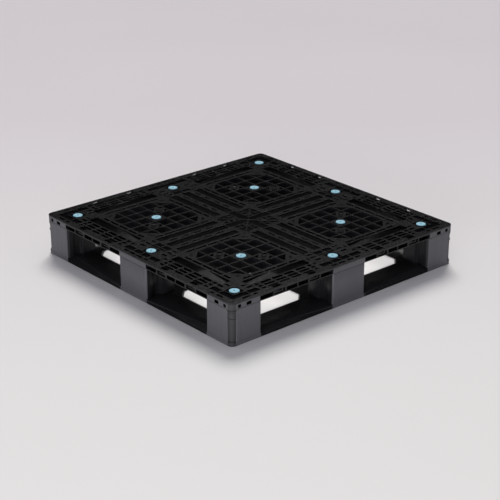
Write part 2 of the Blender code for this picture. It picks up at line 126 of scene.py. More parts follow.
def divided(pts, longest):
    """The outline with points added so that no edge is longer than asked."""
    out = []
    for i, a in enumerate(pts):
        b = pts[(i + 1) % len(pts)]
        n = max(1, math.ceil(math.hypot(b[0] - a[0], b[1] - a[1]) / longest - 1e-6))
        out += [(a[0] + (b[0] - a[0]) * k / n, a[1] + (b[1] - a[1]) * k / n) for k in range(n)]
    return out


def rays(pts):
    """(mitre direction, shading normal) of each point, both pointing out of a CCW outline."""
    out, n = [], len(pts)
    for i in range(n):
        (x0, y0), (x, y), (x1, y1) = pts[i - 1], pts[i], pts[(i + 1) % n]
        la, lb = math.hypot(x - x0, y - y0), math.hypot(x1 - x, y1 - y)
        na = ((y - y0) / la, (x0 - x) / la)
        nb = ((y1 - y) / lb, (x - x1) / lb)
        k = 1.0 / max(0.35, 1.0 + na[0] * nb[0] + na[1] * nb[1])
        mitre = ((na[0] + nb[0]) * k, (na[1] + nb[1]) * k)
        wa, wb = la * la, lb * lb
        sx, sy = na[0] * wa + nb[0] * wb, na[1] * wa + nb[1] * wb
        s = math.hypot(sx, sy) or 1.0
        out.append((mitre, (sx / s, sy / s)))
    return out


def places(shapes, swaps):
    seen, out = set(), []
    for shape in shapes:
        for swap in swaps:
            for sx in (1, -1):
                for sy in (1, -1):
                    pts = [(sx * (y if swap else x), sy * (x if swap else y)) for x, y in shape]
                    cx = sum(p[0] for p in pts) / len(pts)
                    cy = sum(p[1] for p in pts) / len(pts)
                    key = (round(cx, 2), round(cy, 2), len(pts), round(sum(p[0] ** 2 for p in pts), 1))
                    if key not in seen:
                        seen.add(key)
                        out.append(ccw(pts))
    return out


def symmetric(shapes):
    """Every shape in its eight mirror and quarter-turn places, each kept once."""
    return places(shapes, (False, True))


def mirrored(shapes):
    """Every shape in its four mirror places, each kept once."""
    return places(shapes, (False,))


def spun(pts, turn):
    co, si = (1, 0, -1, 0)[turn % 4], (0, 1, 0, -1)[turn % 4]
    return [(x * co - y * si, x * si + y * co) for x, y in pts]


def split(a, b, n, rib=4.0):
    w = (b - a - rib * (n - 1)) / n
    return [(a + k * (w + rib), a + k * (w + rib) + w) for k in range(n)]


def pinwheel(x0, y0, x1, y1, cx, cy, h, rib=4.0):
    """A square pocket round (cx, cy) and four pockets turning round it."""
    return [rect(cx - h, cy - h, cx + h, cy + h),
            rect(x0, y0, cx + h, cy - h - rib),
            rect(cx + h + rib, y0, x1, cy + h),
            rect(cx - h, cy + h + rib, x1, y1),
            rect(x0, cy - h, cx - h - rib, y1)]


# ================================================================= moulding builder
class Level:
    """A stretch of surface inside one outline, sunk below or raised above its surround.

    edge: radius of the edge at the surround; root: radius at the foot of the wall;
    shape(x, y) -> (height, slope x, slope y) makes the surface curved.
    """

    def __init__(self, outline, z, inside=(), mat=TOPS, edge=0.7, root=0.5, draft=0.0, shape=None, longest=None):
        self.outline = divided(ccw(outline), longest) if longest else ccw(outline)
        self.z, self.inside, self.mat = z, list(inside), mat
        self.edge, self.root, self.draft, self.shape = edge, root, draft, shape
        self.longest = longest

    def at(self, x, y):
        if self.shape is None:
            return self.z, 0.0, 0.0
        return self.shape(x, y)


class Moulding:
    """A closed body gathered as vertices with shading normals, and faces with materials."""

    def __init__(self, name):
        self.name = name
        self.co, self.no, self.faces, self.mats = [], [], [], []
        self.flat = set()
        self.through = {}
        self.tunnels = {}

    def vert(self, x, y, z, n):
        self.co.append((x, y, z))
        self.no.append(n)
        return len(self.co) - 1

    def ring(self, outline, off, z, tilt, side, sign):
        """Ring of vertices at an offset from the outline; tilt turns the normal from the surface to the wall."""
        s, c = math.sin(math.radians(tilt)), math.cos(math.radians(tilt))
        out = []
        for i, ((x, y), (m, n)) in enumerate(zip(outline, rays(outline))):
            zz = z[i] if isinstance(z, (list, tuple)) else z
            out.append(self.vert(x + m[0] * off, y + m[1] * off, zz, (sign * n[0] * s, sign * n[1] * s, side * c)))
        return out

    def wall(self, a, b, mat):
        n = len(a)
        for i in range(n):
            j = (i + 1) % n
            self.faces.append((a[i], a[j], b[j], b[i]))
            self.mats.append(mat)

    def fill(self, rings, mat, axes=(0, 1), points=()):
        """Triangles over the first ring, leaving the other rings open."""
        flat, loops = [], []
        ax, ay = axes
        for ring in rings:
            start = len(flat)
            flat += ring
            area = signed_area([(self.co[v][ax], self.co[v][ay]) for v in ring])
            loop = list(range(start, start + len(ring)))
            loops.append(loop if area > 0 else loop[::-1])
        flat += list(points)
        spots = [Vector((self.co[v][ax], self.co[v][ay])) for v in flat]
        found = delaunay_2d_cdt(spots, [], loops, 1, 1e-5)
        back = [origins[0] if origins else None for origins in found[3]]
        for tri, owners in zip(found[2], found[5]):
            if owners == [0]:
                crossed = [tuple(round(c, 1) for c in found[0][i]) for i in tri if back[i] is None]
                assert not crossed, "outlines cross on %s at %s" % (self.name, crossed)
                self.faces.append(tuple(flat[back[i]] for i in tri))
                self.mats.append(mat)

    def surface(self, level, boundary, side):
        """Fill one level inside its boundary ring. side is 1 for the top skin, -1 for the bottom skin."""
        rings = [boundary]
        for child in level.inside:
            if isinstance(child, Level):
                o = child.outline
                depth = (level.z - child.z) * side          # positive when sunk
                sign = -1 if depth > 0 else 1
                way = 1 if depth > 0 else -1
                ends = [child.at(x, y) for x, y in o]
                e, r = child.edge, child.root
                step = abs(depth)
                if step < e + r + 0.3:
                    # shallow step: a smooth ramp
                    w = max(0.5, step * 0.45)
                    lead = self.ring(o, way * w, level.z, 0.0, side, sign)
                    zs = [level.z + (p[0] - level.z) * 0.25 for p in ends]
                    one = self.ring(o, way * w * 0.45, zs, 40.0, side, sign)
                    zs = [level.z + (p[0] - level.z) * 0.75 for p in ends]
                    two = self.ring(o, -way * w * 0.45, zs, 40.0, side, sign)
                    last_off = -way * w
                    chain = [lead, one, two]
                else:
                    lead = self.ring(o, way * e, level.z, 0.0, side, sign)
                    mid = self.ring(o, way * e * 0.3, level.z - side * way * e * 0.3, 45.0, side, sign)
                    top = self.ring(o, 0.0, level.z - side * way * e, 90.0, side, sign)
                    low = self.ring(o, -way * child.draft, [p[0] + side * way * r for p in ends], 90.0, side, sign)
                    last_off = -way * (child.draft + r)
                    chain = [lead, mid, top, low]
                last = []
                for (x, y), (m, _n), (zz, gx, gy) in zip(o, rays(o), ends):
                    k = math.sqrt(gx * gx + gy * gy + 1.0)
                    last.append(self.vert(x + m[0] * last_off, y + m[1] * last_off, zz,
                                          (-gx / k * side, -gy / k * side, side / k)))
                chain.append(last)
                for k, (a, b) in enumerate(zip(chain[:-1], chain[1:])):
                    first = len(self.faces)
                    self.wall(a, b, level.mat if k == 0 or child.mat == PLATES or step >= e + r + 0.3 and k == 1 else child.mat)
                    if step < e + r + 0.3:
                        self.flat.update(range(first, len(self.faces)))
                rings.append(lead)
                self.surface(child, last, side)
            else:
                key = (round(sum(p[0] for p in child), 2), round(sum(p[1] for p in child), 2), len(child))
                e = 0.45
                lead = self.ring(child, e, level.z, 0.0, side, -1)
                mid = self.ring(child, e * 0.3, level.z - side * e * 0.3, 45.0, side, -1)
                top = self.ring(child, 0.0, level.z - side * e, 90.0, side, -1)
                self.wall(lead, mid, level.mat)
                self.wall(mid, top, level.mat)
                if key in self.tunnels:
                    low = self.ring(child, 0.0, self.tunnels[key]["floor"], 90.0, side, -1)
                    self.bore(top, low, key)
                    first = len(self.faces)
                    self.fill([low], self.tunnels[key]["mat"])
                    self.flat.update(range(first, len(self.faces)))
                elif key in self.through:
                    other = self.through.pop(key)
                    self.bore(other, top, key)
                else:
                    self.through[key] = top
                rings.append(lead)
        extra = []
        if level.shape and level.longest:
            xs = [p[0] for p in level.outline]
            ys = [p[1] for p in level.outline]
            x0, x1, y0, y1 = min(xs), max(xs), min(ys), max(ys)
            nx, ny = (max(1, round((b - a) / level.longest)) for a, b in ((x0, x1), (y0, y1)))
            for i in range(1, nx):
                for j in range(1, ny):
                    x, y = x0 + (x1 - x0) * i / nx, y0 + (y1 - y0) * j / ny
                    zz, gx, gy = level.at(x, y)
                    k = math.sqrt(gx * gx + gy * gy + 1.0)
                    extra.append(self.vert(x, y, zz, (-gx / k * side, -gy / k * side, side / k)))
        self.fill(rings, level.mat, points=extra)

    def bore(self, top, low, key):
        """Wall of a through hole; a hole named in tunnels has an opening in its outer wall."""
        n = len(top)
        window = self.tunnels.get(key)
        # through holes wider than 24 mm get the cell walls' painted-light colour, the rest the underside colour
        mat = CELLS if min(max(self.co[v][k] for v in top) - min(self.co[v][k] for v in top) for k in (0, 1)) > 24.0 else UNDER
        for i in range(n):
            j = (i + 1) % n
            if window is not None:
                across = window["across"]
                a, b = self.co[top[i]], self.co[top[j]]
                if (abs(a[across] - b[across]) < 1e-6 and abs(abs(a[across]) - window["at"]) < 1e-6
                        and abs(a[1 - across] - b[1 - across]) > 20.0):
                    spots = []
                    for u, z in window["spots"]:
                        co = [0.0, 0.0, z]
                        co[1 - across], co[across] = u, a[across]
                        spots.append(self.vert(*co, window["normal"]))
                    window["ring"] = spots
                    self.fill([[top[i], top[j], low[j], low[i]], spots], SKIRTS, axes=(1 - across, 2))
                    continue
            self.faces.append((top[i], top[j], low[j], low[i]))
            self.mats.append(mat)

    def finish(self, materials, smooth_angle=None):
        assert not self.through, "a through hole is missing from one face of " + self.name
        me = bpy.data.meshes.new(self.name)
        me.from_pydata([(x * MM, y * MM, z * MM) for x, y, z in self.co], [], self.faces)
        used = sorted(set(self.mats))
        for k in used:
            me.materials.append(materials[k])
        me.polygons.foreach_set("material_index", [used.index(k) for k in self.mats])
        bm = bmesh.new()
        bm.from_mesh(me)
        bmesh.ops.recalc_face_normals(bm, faces=bm.faces)
        if bm.calc_volume(signed=True) < 0:
            bmesh.ops.reverse_faces(bm, faces=bm.faces)
        bm.to_mesh(me)
        bm.free()
        me.shade_smooth()
        if smooth_angle is None:
            soft = [Vector(n).normalized() if any(n) else Vector() for n in self.no]
            corners = []
            for poly in me.polygons:
                flat = poly.index in self.flat
                corners += [poly.normal.copy() if flat else soft[v] for v in poly.vertices]
            me.normals_split_custom_set(corners)
        else:
            me.set_sharp_from_angle(angle=math.radians(smooth_angle))
        ob = bpy.data.objects.new(self.name, me)
        SCENE.collection.objects.link(ob)
        return ob


# ================================================================= materials
class Nodes:
    """A short hand for building a node material in object space, metres."""

    def __init__(self, name):
        self.mat = bpy.data.materials.new(name)
        self.mat.use_nodes = True
        self.tree = self.mat.node_tree
        self.bsdf = self.tree.nodes["Principled BSDF"]
        self.coords = self.tree.nodes.new("ShaderNodeTexCoord").outputs["Object"]

    def put(self, kind, **values):
        node = self.tree.nodes.new(kind)
        for key, value in values.items():
            setattr(node, key, value)
        return node

    def link(self, a, b):
        self.tree.links.new(a, b)

    def mapped(self, scale, turn=(0.0, 0.0, 0.0)):
        node = self.put("ShaderNodeMapping")
        node.inputs["Scale"].default_value = scale
        node.inputs["Rotation"].default_value = [math.radians(t) for t in turn]
        self.link(self.coords, node.inputs["Vector"])
        return node.outputs["Vector"]

    def noise(self, scale, detail=3.0, rough=0.5, vector=None, distortion=0.0):
        node = self.put("ShaderNodeTexNoise")
        node.inputs["Scale"].default_value = scale
        node.inputs["Detail"].default_value = detail
        node.inputs["Roughness"].default_value = rough
        node.inputs["Distortion"].default_value = distortion
        self.link(vector or self.coords, node.inputs["Vector"])
        return node.outputs["Fac"]

    def voronoi(self, scale, vector=None):
        node = self.put("ShaderNodeTexVoronoi")
        node.inputs["Scale"].default_value = scale
        self.link(vector or self.coords, node.inputs["Vector"])
        return node.outputs["Distance"]

    def span(self, value, lo, hi, to_lo, to_hi):
        node = self.put("ShaderNodeMapRange", clamp=True)
        self.link(value, node.inputs["Value"])
        for key, v in zip(("From Min", "From Max", "To Min", "To Max"), (lo, hi, to_lo, to_hi)):
            node.inputs[key].default_value = v
        return node.outputs["Result"]

    def math(self, op, a, b):
        node = self.put("ShaderNodeMath", operation=op)
        for socket, v in zip(node.inputs, (a, b)):
            if isinstance(v, (int, float)):
                socket.default_value = v
            else:
                self.link(v, socket)
        return node.outputs[0]

    def mix(self, factor, a, b):
        node = self.put("ShaderNodeMix", data_type="RGBA")
        self.link(factor, node.inputs["Factor"])
        for socket, v in zip((node.inputs[6], node.inputs[7]), (a, b)):
            if isinstance(v, tuple):
                socket.default_value = (*v, 1.0)
            else:
                self.link(v, socket)
        return node.outputs[2]

    def normal_z(self):
        geo = self.put("ShaderNodeNewGeometry")
        sep = self.put("ShaderNodeSeparateXYZ")
        self.link(geo.outputs["Normal"], sep.inputs[0])
        return sep.outputs["Z"]

    def height(self):
        sep = self.put("ShaderNodeSeparateXYZ")
        self.link(self.coords, sep.inputs[0])
        return sep.outputs["Z"]

    def bump(self, value, strength, distance, under=None):
        node = self.put("ShaderNodeBump")
        node.inputs["Strength"].default_value = strength
        node.inputs["Distance"].default_value = distance
        self.link(value, node.inputs["Height"])
        if under is not None:
            self.link(under, node.inputs["Normal"])
        return node.outputs["Normal"]


def scaled(colour, k):
    return tuple(c * k for c in colour)


def black_plastic(name, colour, rough, scuff=0.3, grain=0.12, cloud=0.25, specular=0.5, streak=None):
    """Moulded polypropylene: cloudy tone, spark-eroded grain, handling scratches, dusty wear."""
    n = Nodes(name)
    clouds = n.noise(7.0, 5.0, 0.6)
    fine = n.noise(1500.0, 2.0, 0.5)
    coarse = n.noise(160.0, 4.0, 0.62, distortion=0.4)
    base = n.mix(n.span(clouds, 0.3, 0.7, 0.0, 1.0), scaled(colour, 1.0 - cloud), scaled(colour, 1.0 + cloud))
    base = n.mix(n.math("MULTIPLY", n.span(fine, 0.35, 0.75, 0.0, 1.0), 0.35), base, scaled(colour, 1.7))
    # handling scratches, in two directions, only here and there
    marks = None
    for turn, stretch in ((27.0, 1.0), (-52.0, 1.3), (84.0, 0.8)):
        lines = n.noise(1.0, 2.0, 0.5, n.mapped((7.0 * stretch, 620.0, 9.0), (0.0, 0.0, turn)))
        gate = n.span(n.noise(11.0 * stretch, 2.0), 0.50, 0.66, 0.0, 1.0)
        line = n.math("MULTIPLY", n.span(lines, 0.66, 0.74, 0.0, 1.0), gate)
        marks = line if marks is None else n.math("MAXIMUM", marks, line)
    base = n.mix(n.math("MULTIPLY", marks, scuff), base, (0.075, 0.076, 0.080))
    dust = n.math("MULTIPLY", n.span(coarse, 0.52, 0.78, 0.0, 1.0), n.span(clouds, 0.38, 0.68, 0.0, 1.0))
    base = n.mix(n.math("MULTIPLY", dust, scuff * 0.30), base, (0.060, 0.059, 0.058))
    if streak:
        # faint flow lines of the moulding, running up the wall
        flow = n.noise(1.0, 3.0, 0.6, n.mapped((95.0, 95.0, 2.2)))
        base = n.mix(n.span(flow, 0.36, 0.66, 0.0, streak), base, scaled(colour, 1.5))
    n.link(base, n.bsdf.inputs["Base Color"])
    r = n.span(coarse, 0.3, 0.75, max(0.04, rough - 0.07), rough + 0.09)
    r = n.math("ADD", r, n.math("MULTIPLY", marks, 0.12))
    n.link(r, n.bsdf.inputs["Roughness"])
    n.bsdf.inputs["Metallic"].default_value = 0.0
    n.bsdf.inputs["IOR"].default_value = 1.49
    n.bsdf.inputs["Specular IOR Level"].default_value = specular
    relief = n.bump(fine, grain, 0.0003)
    relief = n.bump(coarse, grain * 0.5, 0.0006, relief)
    relief = n.bump(marks, -0.25 if scuff else 0.0, 0.0002, relief)
    n.link(relief, n.bsdf.inputs["Normal"])
    return n.mat


def rubber(name, colour):
    """Light blue anti-slip elastomer: matte, faintly mottled, with dark pits and grey specks."""
    n = Nodes(name)
    clouds = n.noise(60.0, 4.0, 0.55)
    fine = n.noise(2600.0, 2.0)
    pits = n.voronoi(1900.0)
    base = n.mix(n.span(clouds, 0.3, 0.72, 0.0, 1.0), scaled(colour, 0.90), scaled(colour, 1.06))
    base = n.mix(n.span(pits, 0.0, 0.28, 0.16, 0.0), base, scaled(colour, 0.6))
    specks = n.span(n.noise(900.0, 2.0), 0.70, 0.78, 0.0, 0.5)
    base = n.mix(specks, base, (0.22, 0.30, 0.34))
    n.link(base, n.bsdf.inputs["Base Color"])
    n.link(n.span(clouds, 0.3, 0.75, 0.50, 0.66), n.bsdf.inputs["Roughness"])
    n.bsdf.inputs["Specular IOR Level"].default_value = 0.4
    relief = n.bump(fine, 0.16, 0.0003)
    relief = n.bump(pits, 0.10, 0.0003, relief)
    n.link(relief, n.bsdf.inputs["Normal"])
    return n.mat


DECK_TOP = black_plastic("deck_ribs", (0.0048, 0.0048, 0.0055), 0.23, scuff=0.08, grain=0.035, specular=0.07)
DECK_PLATE = black_plastic("deck_plates", (0.0012, 0.0012, 0.0013), 0.09, scuff=0.015, grain=0.012, cloud=0.12, specular=0.45)
RIM_TIE = black_plastic("deck_window_bars", (0.012, 0.012, 0.0135), 0.40, scuff=0.20, grain=0.12, specular=0.20)
# painted light: the outward skirt faces are the deck's own black plastic, painted much lighter than its top to stand in
# for the light they catch
SKIRT_MAT = black_plastic("deck_skirt_painted_light", (0.078, 0.077, 0.085), 0.50, scuff=0.20, grain=0.14, cloud=0.08)
# painted light: the outer lip of the rim, the same black plastic painted lighter than the deck top so that it shows as
# a pale line
FLANGE_MAT = black_plastic("deck_flange_painted_light", (0.024, 0.024, 0.027), 0.42, scuff=0.25, grain=0.12, specular=0.25)
DECK_UNDER = black_plastic("deck_underside", (0.0042, 0.0042, 0.0048), 0.36, scuff=0.06, grain=0.10, specular=0.10)
LOWER_TOP = black_plastic("lower_deck_plastic", (0.0165, 0.0165, 0.0180), 0.32, scuff=0.16, grain=0.08, specular=0.10)
# painted light: the outward post faces, and the lower deck's edge under the posts, are the same black plastic painted
# dark grey to stand in for the light they catch
POST_MAT = black_plastic("post_plastic_moulded", (0.083, 0.082, 0.090), 0.52, scuff=0.14, grain=0.14, cloud=0.06, streak=0.25)
# painted shade: the post walls inside the fork ways, the same plastic painted much darker than the outer faces for the
# shade inside the openings
POST_WALL = black_plastic("post_fork_way_walls", (0.012, 0.012, 0.0135), 0.38, scuff=0.16, grain=0.10, cloud=0.30, specular=0.16)
# painted shade and light: the sunk rounded corners are painted darker than the outer faces for the shadowed floor they
# face, and the same colour makes a painted light band at the mouth of each fork-way wall
STRIP_MAT = black_plastic("corner_strip_painted_shade_mouth_band_painted_light", (0.030, 0.030, 0.033), 0.50, scuff=0.14, grain=0.14, cloud=0.08, streak=0.25)
WELL_MAT = black_plastic("deck_sunk_wells", (0.0035, 0.0035, 0.0042), 0.60, scuff=0.10, grain=0.10, cloud=0.20, specular=0.0)
# painted light: the walls of the wide grid cells, the same plastic as the underside painted three times lighter so that
# the cells seen from above are less dark
CELL_MAT = black_plastic("deck_cell_walls_painted_light", (0.0125, 0.0125, 0.0145), 0.42, scuff=0.08, grain=0.10, specular=0.10)
BLUE = rubber("light_blue_elastomer", (0.24, 0.49, 0.60))
DECK_MATS = {TOPS: DECK_TOP, PLATES: DECK_PLATE, SKIRTS: SKIRT_MAT, UNDER: DECK_UNDER, FLANGE: FLANGE_MAT, DARK: DECK_PLATE,
             BARS: RIM_TIE, REVEAL: POST_WALL, STRIPS: STRIP_MAT, WELLS: WELL_MAT, CELLS: CELL_MAT}


# ================================================================= upper deck
def crown(x0, y0, x1, y1, z, rise):
    """A plate that is highest in the middle of its length and falls away to both ends."""
    along = 0 if x1 - x0 > y1 - y0 else 1
    c = ((x0 + x1) / 2, (y0 + y1) / 2)[along]
    h = (x1 - x0, y1 - y0)[along] / 2

    def shape(x, y):
        t = ((x, y)[along] - c) / h
        g = -2.0 * rise * t / h
        return (z - rise * t * t, g if along == 0 else 0.0, g if along == 1 else 0.0)
    return shape


def ridge(x0, y0, x1, y1, z, rise):
    """A plate with two almost flat slopes that meet in a soft ridge halfway along."""
    along = 0 if x1 - x0 > y1 - y0 else 1
    c = ((x0 + x1) / 2, (y0 + y1) / 2)[along]
    h = (x1 - x0, y1 - y0)[along] / 2
    soft = 0.16
    full = math.hypot(1.0, soft) - soft

    def shape(x, y):
        t = ((x, y)[along] - c) / h
        g = -rise / full * t / math.hypot(t, soft) / h
        return (z - rise * (math.hypot(t, soft) - soft) / full, g if along == 0 else 0.0, g if along == 1 else 0.0)
    return shape


def crowned(x0, y0, x1, y1, z, rise, longest, form=crown):
    o = rect(x0, y0, x1, y1)
    return Level(fillet(o, 2.5, 2), z, mat=PLATES, shape=form(x0, y0, x1, y1, z, rise), longest=longest, edge=0.7, root=0.6)


def stopped(outline, stops):
    """Extra corners along the long sides of a square outline, at plus and minus each stop."""
    out = []
    m = len(outline)
    for i in range(m):
        a, b = outline[i], outline[(i + 1) % m]
        out.append(a)
        if math.hypot(a[0] - b[0], a[1] - b[1]) < 100.0:
            continue
        along = 0 if abs(a[1] - b[1]) < 1e-6 else 1
        for u in sorted([w * v for v in stops for w in (1, -1)], reverse=a[along] > b[along]):
            p = [a[0], a[1]]
            p[along] = u
            out.append(tuple(p))
    return out


def grid_lines():
    return [PANEL_C + PITCH * k for k in (-2.5, -1.5, -0.5, 0.5, 1.5, 2.5)]


def panel_holes():
    """Through holes of the +X +Y grid panel."""
    g, r = grid_lines(), RIB / 2
    holes = []
    for i in range(5):
        for j in range(5):
            x0, x1, y0, y1 = g[i] + r, g[i + 1] - r, g[j] + r, g[j + 1] - r
            cx, cy, k = (x0 + x1) / 2, (y0 + y1) / 2, (x1 - x0) / 2
            if (i, j) == (2, 2):
                continue
            if (i, j) in ((1, 3), (3, 1)):
                d, m = 26.0, 2.4
                for sx in (1, -1):
                    for sy in (1, -1):
                        o = [(cx + sx * k, cy + sy * (d - k + m)), (cx + sx * k, cy + sy * k),
                             (cx + sx * (d - k + m), cy + sy * k)]
                        holes.append(fillet(ccw(o), 1.2, 2))
                continue
            if i in (0, 4) and j in (0, 4):
                sx, sy = (1 if i == 0 else -1), (1 if j == 0 else -1)
                o = [(cx - sx * (k - 4), cy + sy * k), (cx + sx * k, cy + sy * k), (cx + sx * k, cy - sy * (k - 4))]
                holes.append(fillet(ccw(o), 1.8, 2))
                continue
            holes.append(fillet(rect(x0, y0, x1, y1), 1.8, 2))
    for j in range(5):
        a, b = g[j] + r, g[j + 1] - r
        if j == 0:
            a = g[0] + 17
        if j == 4:
            b = g[5] - 17
        for s in (1, -1):
            lo, hi = sorted((PANEL_C + s * 152.0, PANEL_C + s * 162.0))
            holes.append(fillet(rect(a, lo, b, hi), 1.6, 2))
            holes.append(fillet(rect(lo, a, hi, b), 1.6, 2))
    return holes


ROWS = ((467.2, 480.8), (487.4, 499.8), (507.0, 518.6))
COLUMNS = ((116.0, 133.0), (144.0, 190.0), (200.0, 244.0), (254.0, 299.0), (308.0, 354.0), (363.0, 380.0))
NOTCHES = ((150.5, 185.5), (315.5, 350.5))
NOTCH_Y = (522.5, 540.0)
TIES = (142.0, 196.0, 248.5, 304.0, 360.0)
TIE_HALF = (3.8, 5.0, 3.2, 5.0, 3.2)
BAY_ENDS = (79.0, 422.0)
Z_LIP_LOW = 154.6
Z_WELL = 153.0
Z_NOTCH = 138.5
Z_PANEL_RIB, PANEL_RIBS_HALF = 128.0, 147.0    # underside and half size of the deeper ribs of a grid panel


def upper_deck():
    s = Moulding("upper_deck_detailed")
    outer = stopped(rounded_square(HALF, CORNER_R, 8), BAY_ENDS)
    n = 32

    panels = mirrored(panel_holes())
    slots = [rect(a, y0, b, y1) for y0, y1 in ROWS for a, b in COLUMNS]
    slots += [rect(89.0, 469.5, 106.0, 479.0), rect(389.0, 468.0, 416.0, 480.0)]
    slots += [rect(88.0, 423.0, 95.0, 441.0)]
    slots = symmetric([fillet(o, 1.6, 2) for o in slots])
    ladder = symmetric([fillet(rect(27.0, y - 17.0, 34.5, y + 17.0), 1.6, 2) for y in (167.0, 224.0, 281.0, 338.0)])
    notches = symmetric([fillet(rect(a, NOTCH_Y[0], b, NOTCH_Y[1]), 2.0, 2) for a, b in NOTCHES])

    post_spots = [(sx * GROMMET_C, sy * GROMMET_C) for sx in (-1, 0, 1) for sy in (-1, 0, 1) if sx or sy]
    panel_spots = [(sx * PANEL_C, sy * PANEL_C) for sx in (-1, 1) for sy in (-1, 1)]

    def seat(p, z):
        """Counterbore for a grommet inside a low raised collar."""
        bore = Level(circle(p[0], p[1], SEAT_R, n), Z_WEB_TOP, [circle(p[0], p[1], NECK_HOLE_R, n)], PLATES, edge=0.8)
        return Level(circle(p[0], p[1], SEAT_R + 4.0, n), z + 0.7, [bore], TOPS if z == Z_GRID else WELLS)

    # ---- top skin
    top_levels = []
    for sx in (1, -1):
        for sy in (1, -1):
            c, h = (sx * PANEL_C, sy * PANEL_C), PANEL_HALF
            inside = [p for p in panels if p[0][0] * sx > 0 and p[0][1] * sy > 0]
            inside.append(seat(c, Z_GRID))
            g = grid_lines()
            for i, j in ((1, 3), (3, 1)):
                # square boss set diagonally, with a dimple
                cx, cy = sx * (g[i] + g[i + 1]) / 2, sy * (g[j] + g[j + 1]) / 2
                boss = fillet([(cx - 17.5, cy), (cx, cy - 17.5), (cx + 17.5, cy), (cx, cy + 17.5)], 2.0, 2)
                inner = fillet([(cx - 12.0, cy), (cx, cy - 12.0), (cx + 12.0, cy), (cx, cy + 12.0)], 1.5, 2)
                dot = Level(circle(cx, cy, 3.2, 12), Z_GRID - 3.0, mat=PLATES)
                inside.append(Level(boss, Z_GRID + 1.0, [Level(inner, Z_GRID + 0.1, [dot], PLATES)]))
            for i in (0, 4):
                for j in (0, 4):
                    # corner gusset with a shallow oval
                    ax, ay = (1 if i == 0 else -1), (1 if j == 0 else -1)
                    cx = sx * ((g[i] + g[i + 1]) / 2 - ax * 11.5)
                    cy = sy * ((g[j] + g[j + 1]) / 2 - ay * 11.5)
                    dx, dy = sx * ax, sy * ay
                    oval = []
                    for k in range(16):
                        w = 2 * math.pi * k / 16
                        u, v = 12.5 * math.cos(w), 4.0 * math.sin(w)
                        oval.append((cx + (u * dy + v * dx) * 0.7071, cy + (-u * dx + v * dy) * 0.7071))
                    inside.append(Level(ccw(oval), Z_GRID - 1.4, mat=PLATES))
            q0, q1, q2 = PANEL_C - h, PANEL_C + h, PANEL_C - h + 14.0
            o = [(sx * x, sy * y) for x, y in ((q2, q0), (q1, q0), (q1, q1), (q0, q1), (q0, q2), (q2, q2))]
            o = fillet(ccw(o), 4.0, 4)
            top_levels.append(Level(o, Z_GRID, inside))

    for turn in range(4):
        for m in (1, -1):
            for x0, y0, x1, y1, z, rise, step in (
                    (109.0, 423.0, 395.0, 461.0, Z_DECK - 0.6, 7.4, 13.0),):
                a = [(m * x, y) for x, y in rect(x0, y0, x1, y1)]
                a = spun(a, turn)
                xs, ys = [p[0] for p in a], [p[1] for p in a]
                key = (min(xs), min(ys), max(xs), max(ys))
                top_levels.append(crowned(*key, z, rise, step, ridge))
    for turn in range(4):
        # sunk channels of the cross band: one down the middle, one on each side of the ladder ribs
        for x0, x1 in ((-16.5, 16.5), (45.5, 75.0), (-75.0, -45.5)):
            a = spun(rect(x0, 109.0, x1, 386.0), turn)
            xs, ys = [p[0] for p in a], [p[1] for p in a]
            top_levels.append(crowned(min(xs), min(ys), max(xs), max(ys), Z_PLATE, 1.2, 18.0))
        # hub of the cross band: the middle channels run in to thin ribs on the diagonals
        hub = [[(0.0, 3.0), (16.5, 19.5), (16.5, 104.0), (-16.5, 104.0), (-16.5, 19.5)]]
        for m in (1, -1):
            hub.append([(m * x, y) for x, y in ((45.5, 49.5), (84.5, 88.5), (45.5, 88.5))])
            hub.append([(m * x, y) for x, y in ((45.5 + 4.0, 45.5), (88.5, 45.5), (88.5, 84.5))])
            hub.append([(m * x, y) for x, y in ((21.0, 26.0), (36.5, 41.5), (21.0, 41.5))])
            hub.append([(m * x, y) for x, y in ((21.5, 50.0), (40.5, 50.0), (40.5, 66.0), (21.5, 66.0))])
            hub.append([(m * x, y) for x, y in ((21.5, 72.0), (40.5, 72.0), (40.5, 88.0), (21.5, 88.0))])
            if m < 0:
                hub = hub[:6] + hub[8:]     # the pockets on the diagonals belong to two arms
        top_levels += [Level(fillet(ccw(spun(o, turn)), 1.5, 2), Z_PLATE, mat=PLATES) for o in hub]

    # sunk wells round the corner grommets: a square, an L outside it, and two bars
    for sx in (1, -1):
        for sy in (1, -1):
            wells = [[(492.5, 441.0), (517.0, 441.0), (517.0, 517.0), (441.0, 517.0), (441.0, 492.5), (492.5, 492.5)],
                     rect(492.5, 392.0, 517.0, 437.0), rect(392.0, 492.5, 437.0, 517.0)]
            for o in wells:
                o = fillet(ccw([(sx * x, sy * y) for x, y in o]), 2.0, 2)
                top_levels.append(Level(o, Z_WELL, mat=WELLS))
            o = [(sx * x, sy * y) for x, y in rect(439.5, 439.5, 488.5, 488.5)]
            top_levels.append(Level(fillet(ccw(o), 8.0, 4), Z_PAD, [seat((sx * GROMMET_C, sy * GROMMET_C), Z_PAD)], WELLS))
    for o in symmetric([rect(448.0, 402.0, 456.0, 424.0)]):
        top_levels.append(Level(fillet(o, 1.6, 2), Z_WELL, mat=WELLS))
    for o in symmetric([rect(50.0, 449.5, 77.0, 459.0), rect(50.0, 425.5, 77.0, 433.5), rect(50.0, 402.0, 74.0, 410.0)]):
        top_levels.append(Level(fillet(o, 1.6, 2), Z_PLATE - 1.5, mat=WELLS))
    for turn in range(4):
        c = spun([(0.0, GROMMET_C)], turn)[0]
        o = spun(rect(-24.5, 439.5, 24.5, 488.5), turn)
        top_levels.append(Level(fillet(o, 8.0, 4), Z_PAD, [seat(c, Z_PAD)], WELLS))
        for x0, x1 in ((-96.0, -46.0), (-42.0, -2.0), (2.0, 42.0), (46.0, 96.0)):
            o = spun(rect(x0, 492.5, x1, 515.5), turn)
            top_levels.append(Level(fillet(o, 2.0, 2), Z_WELL, mat=WELLS))
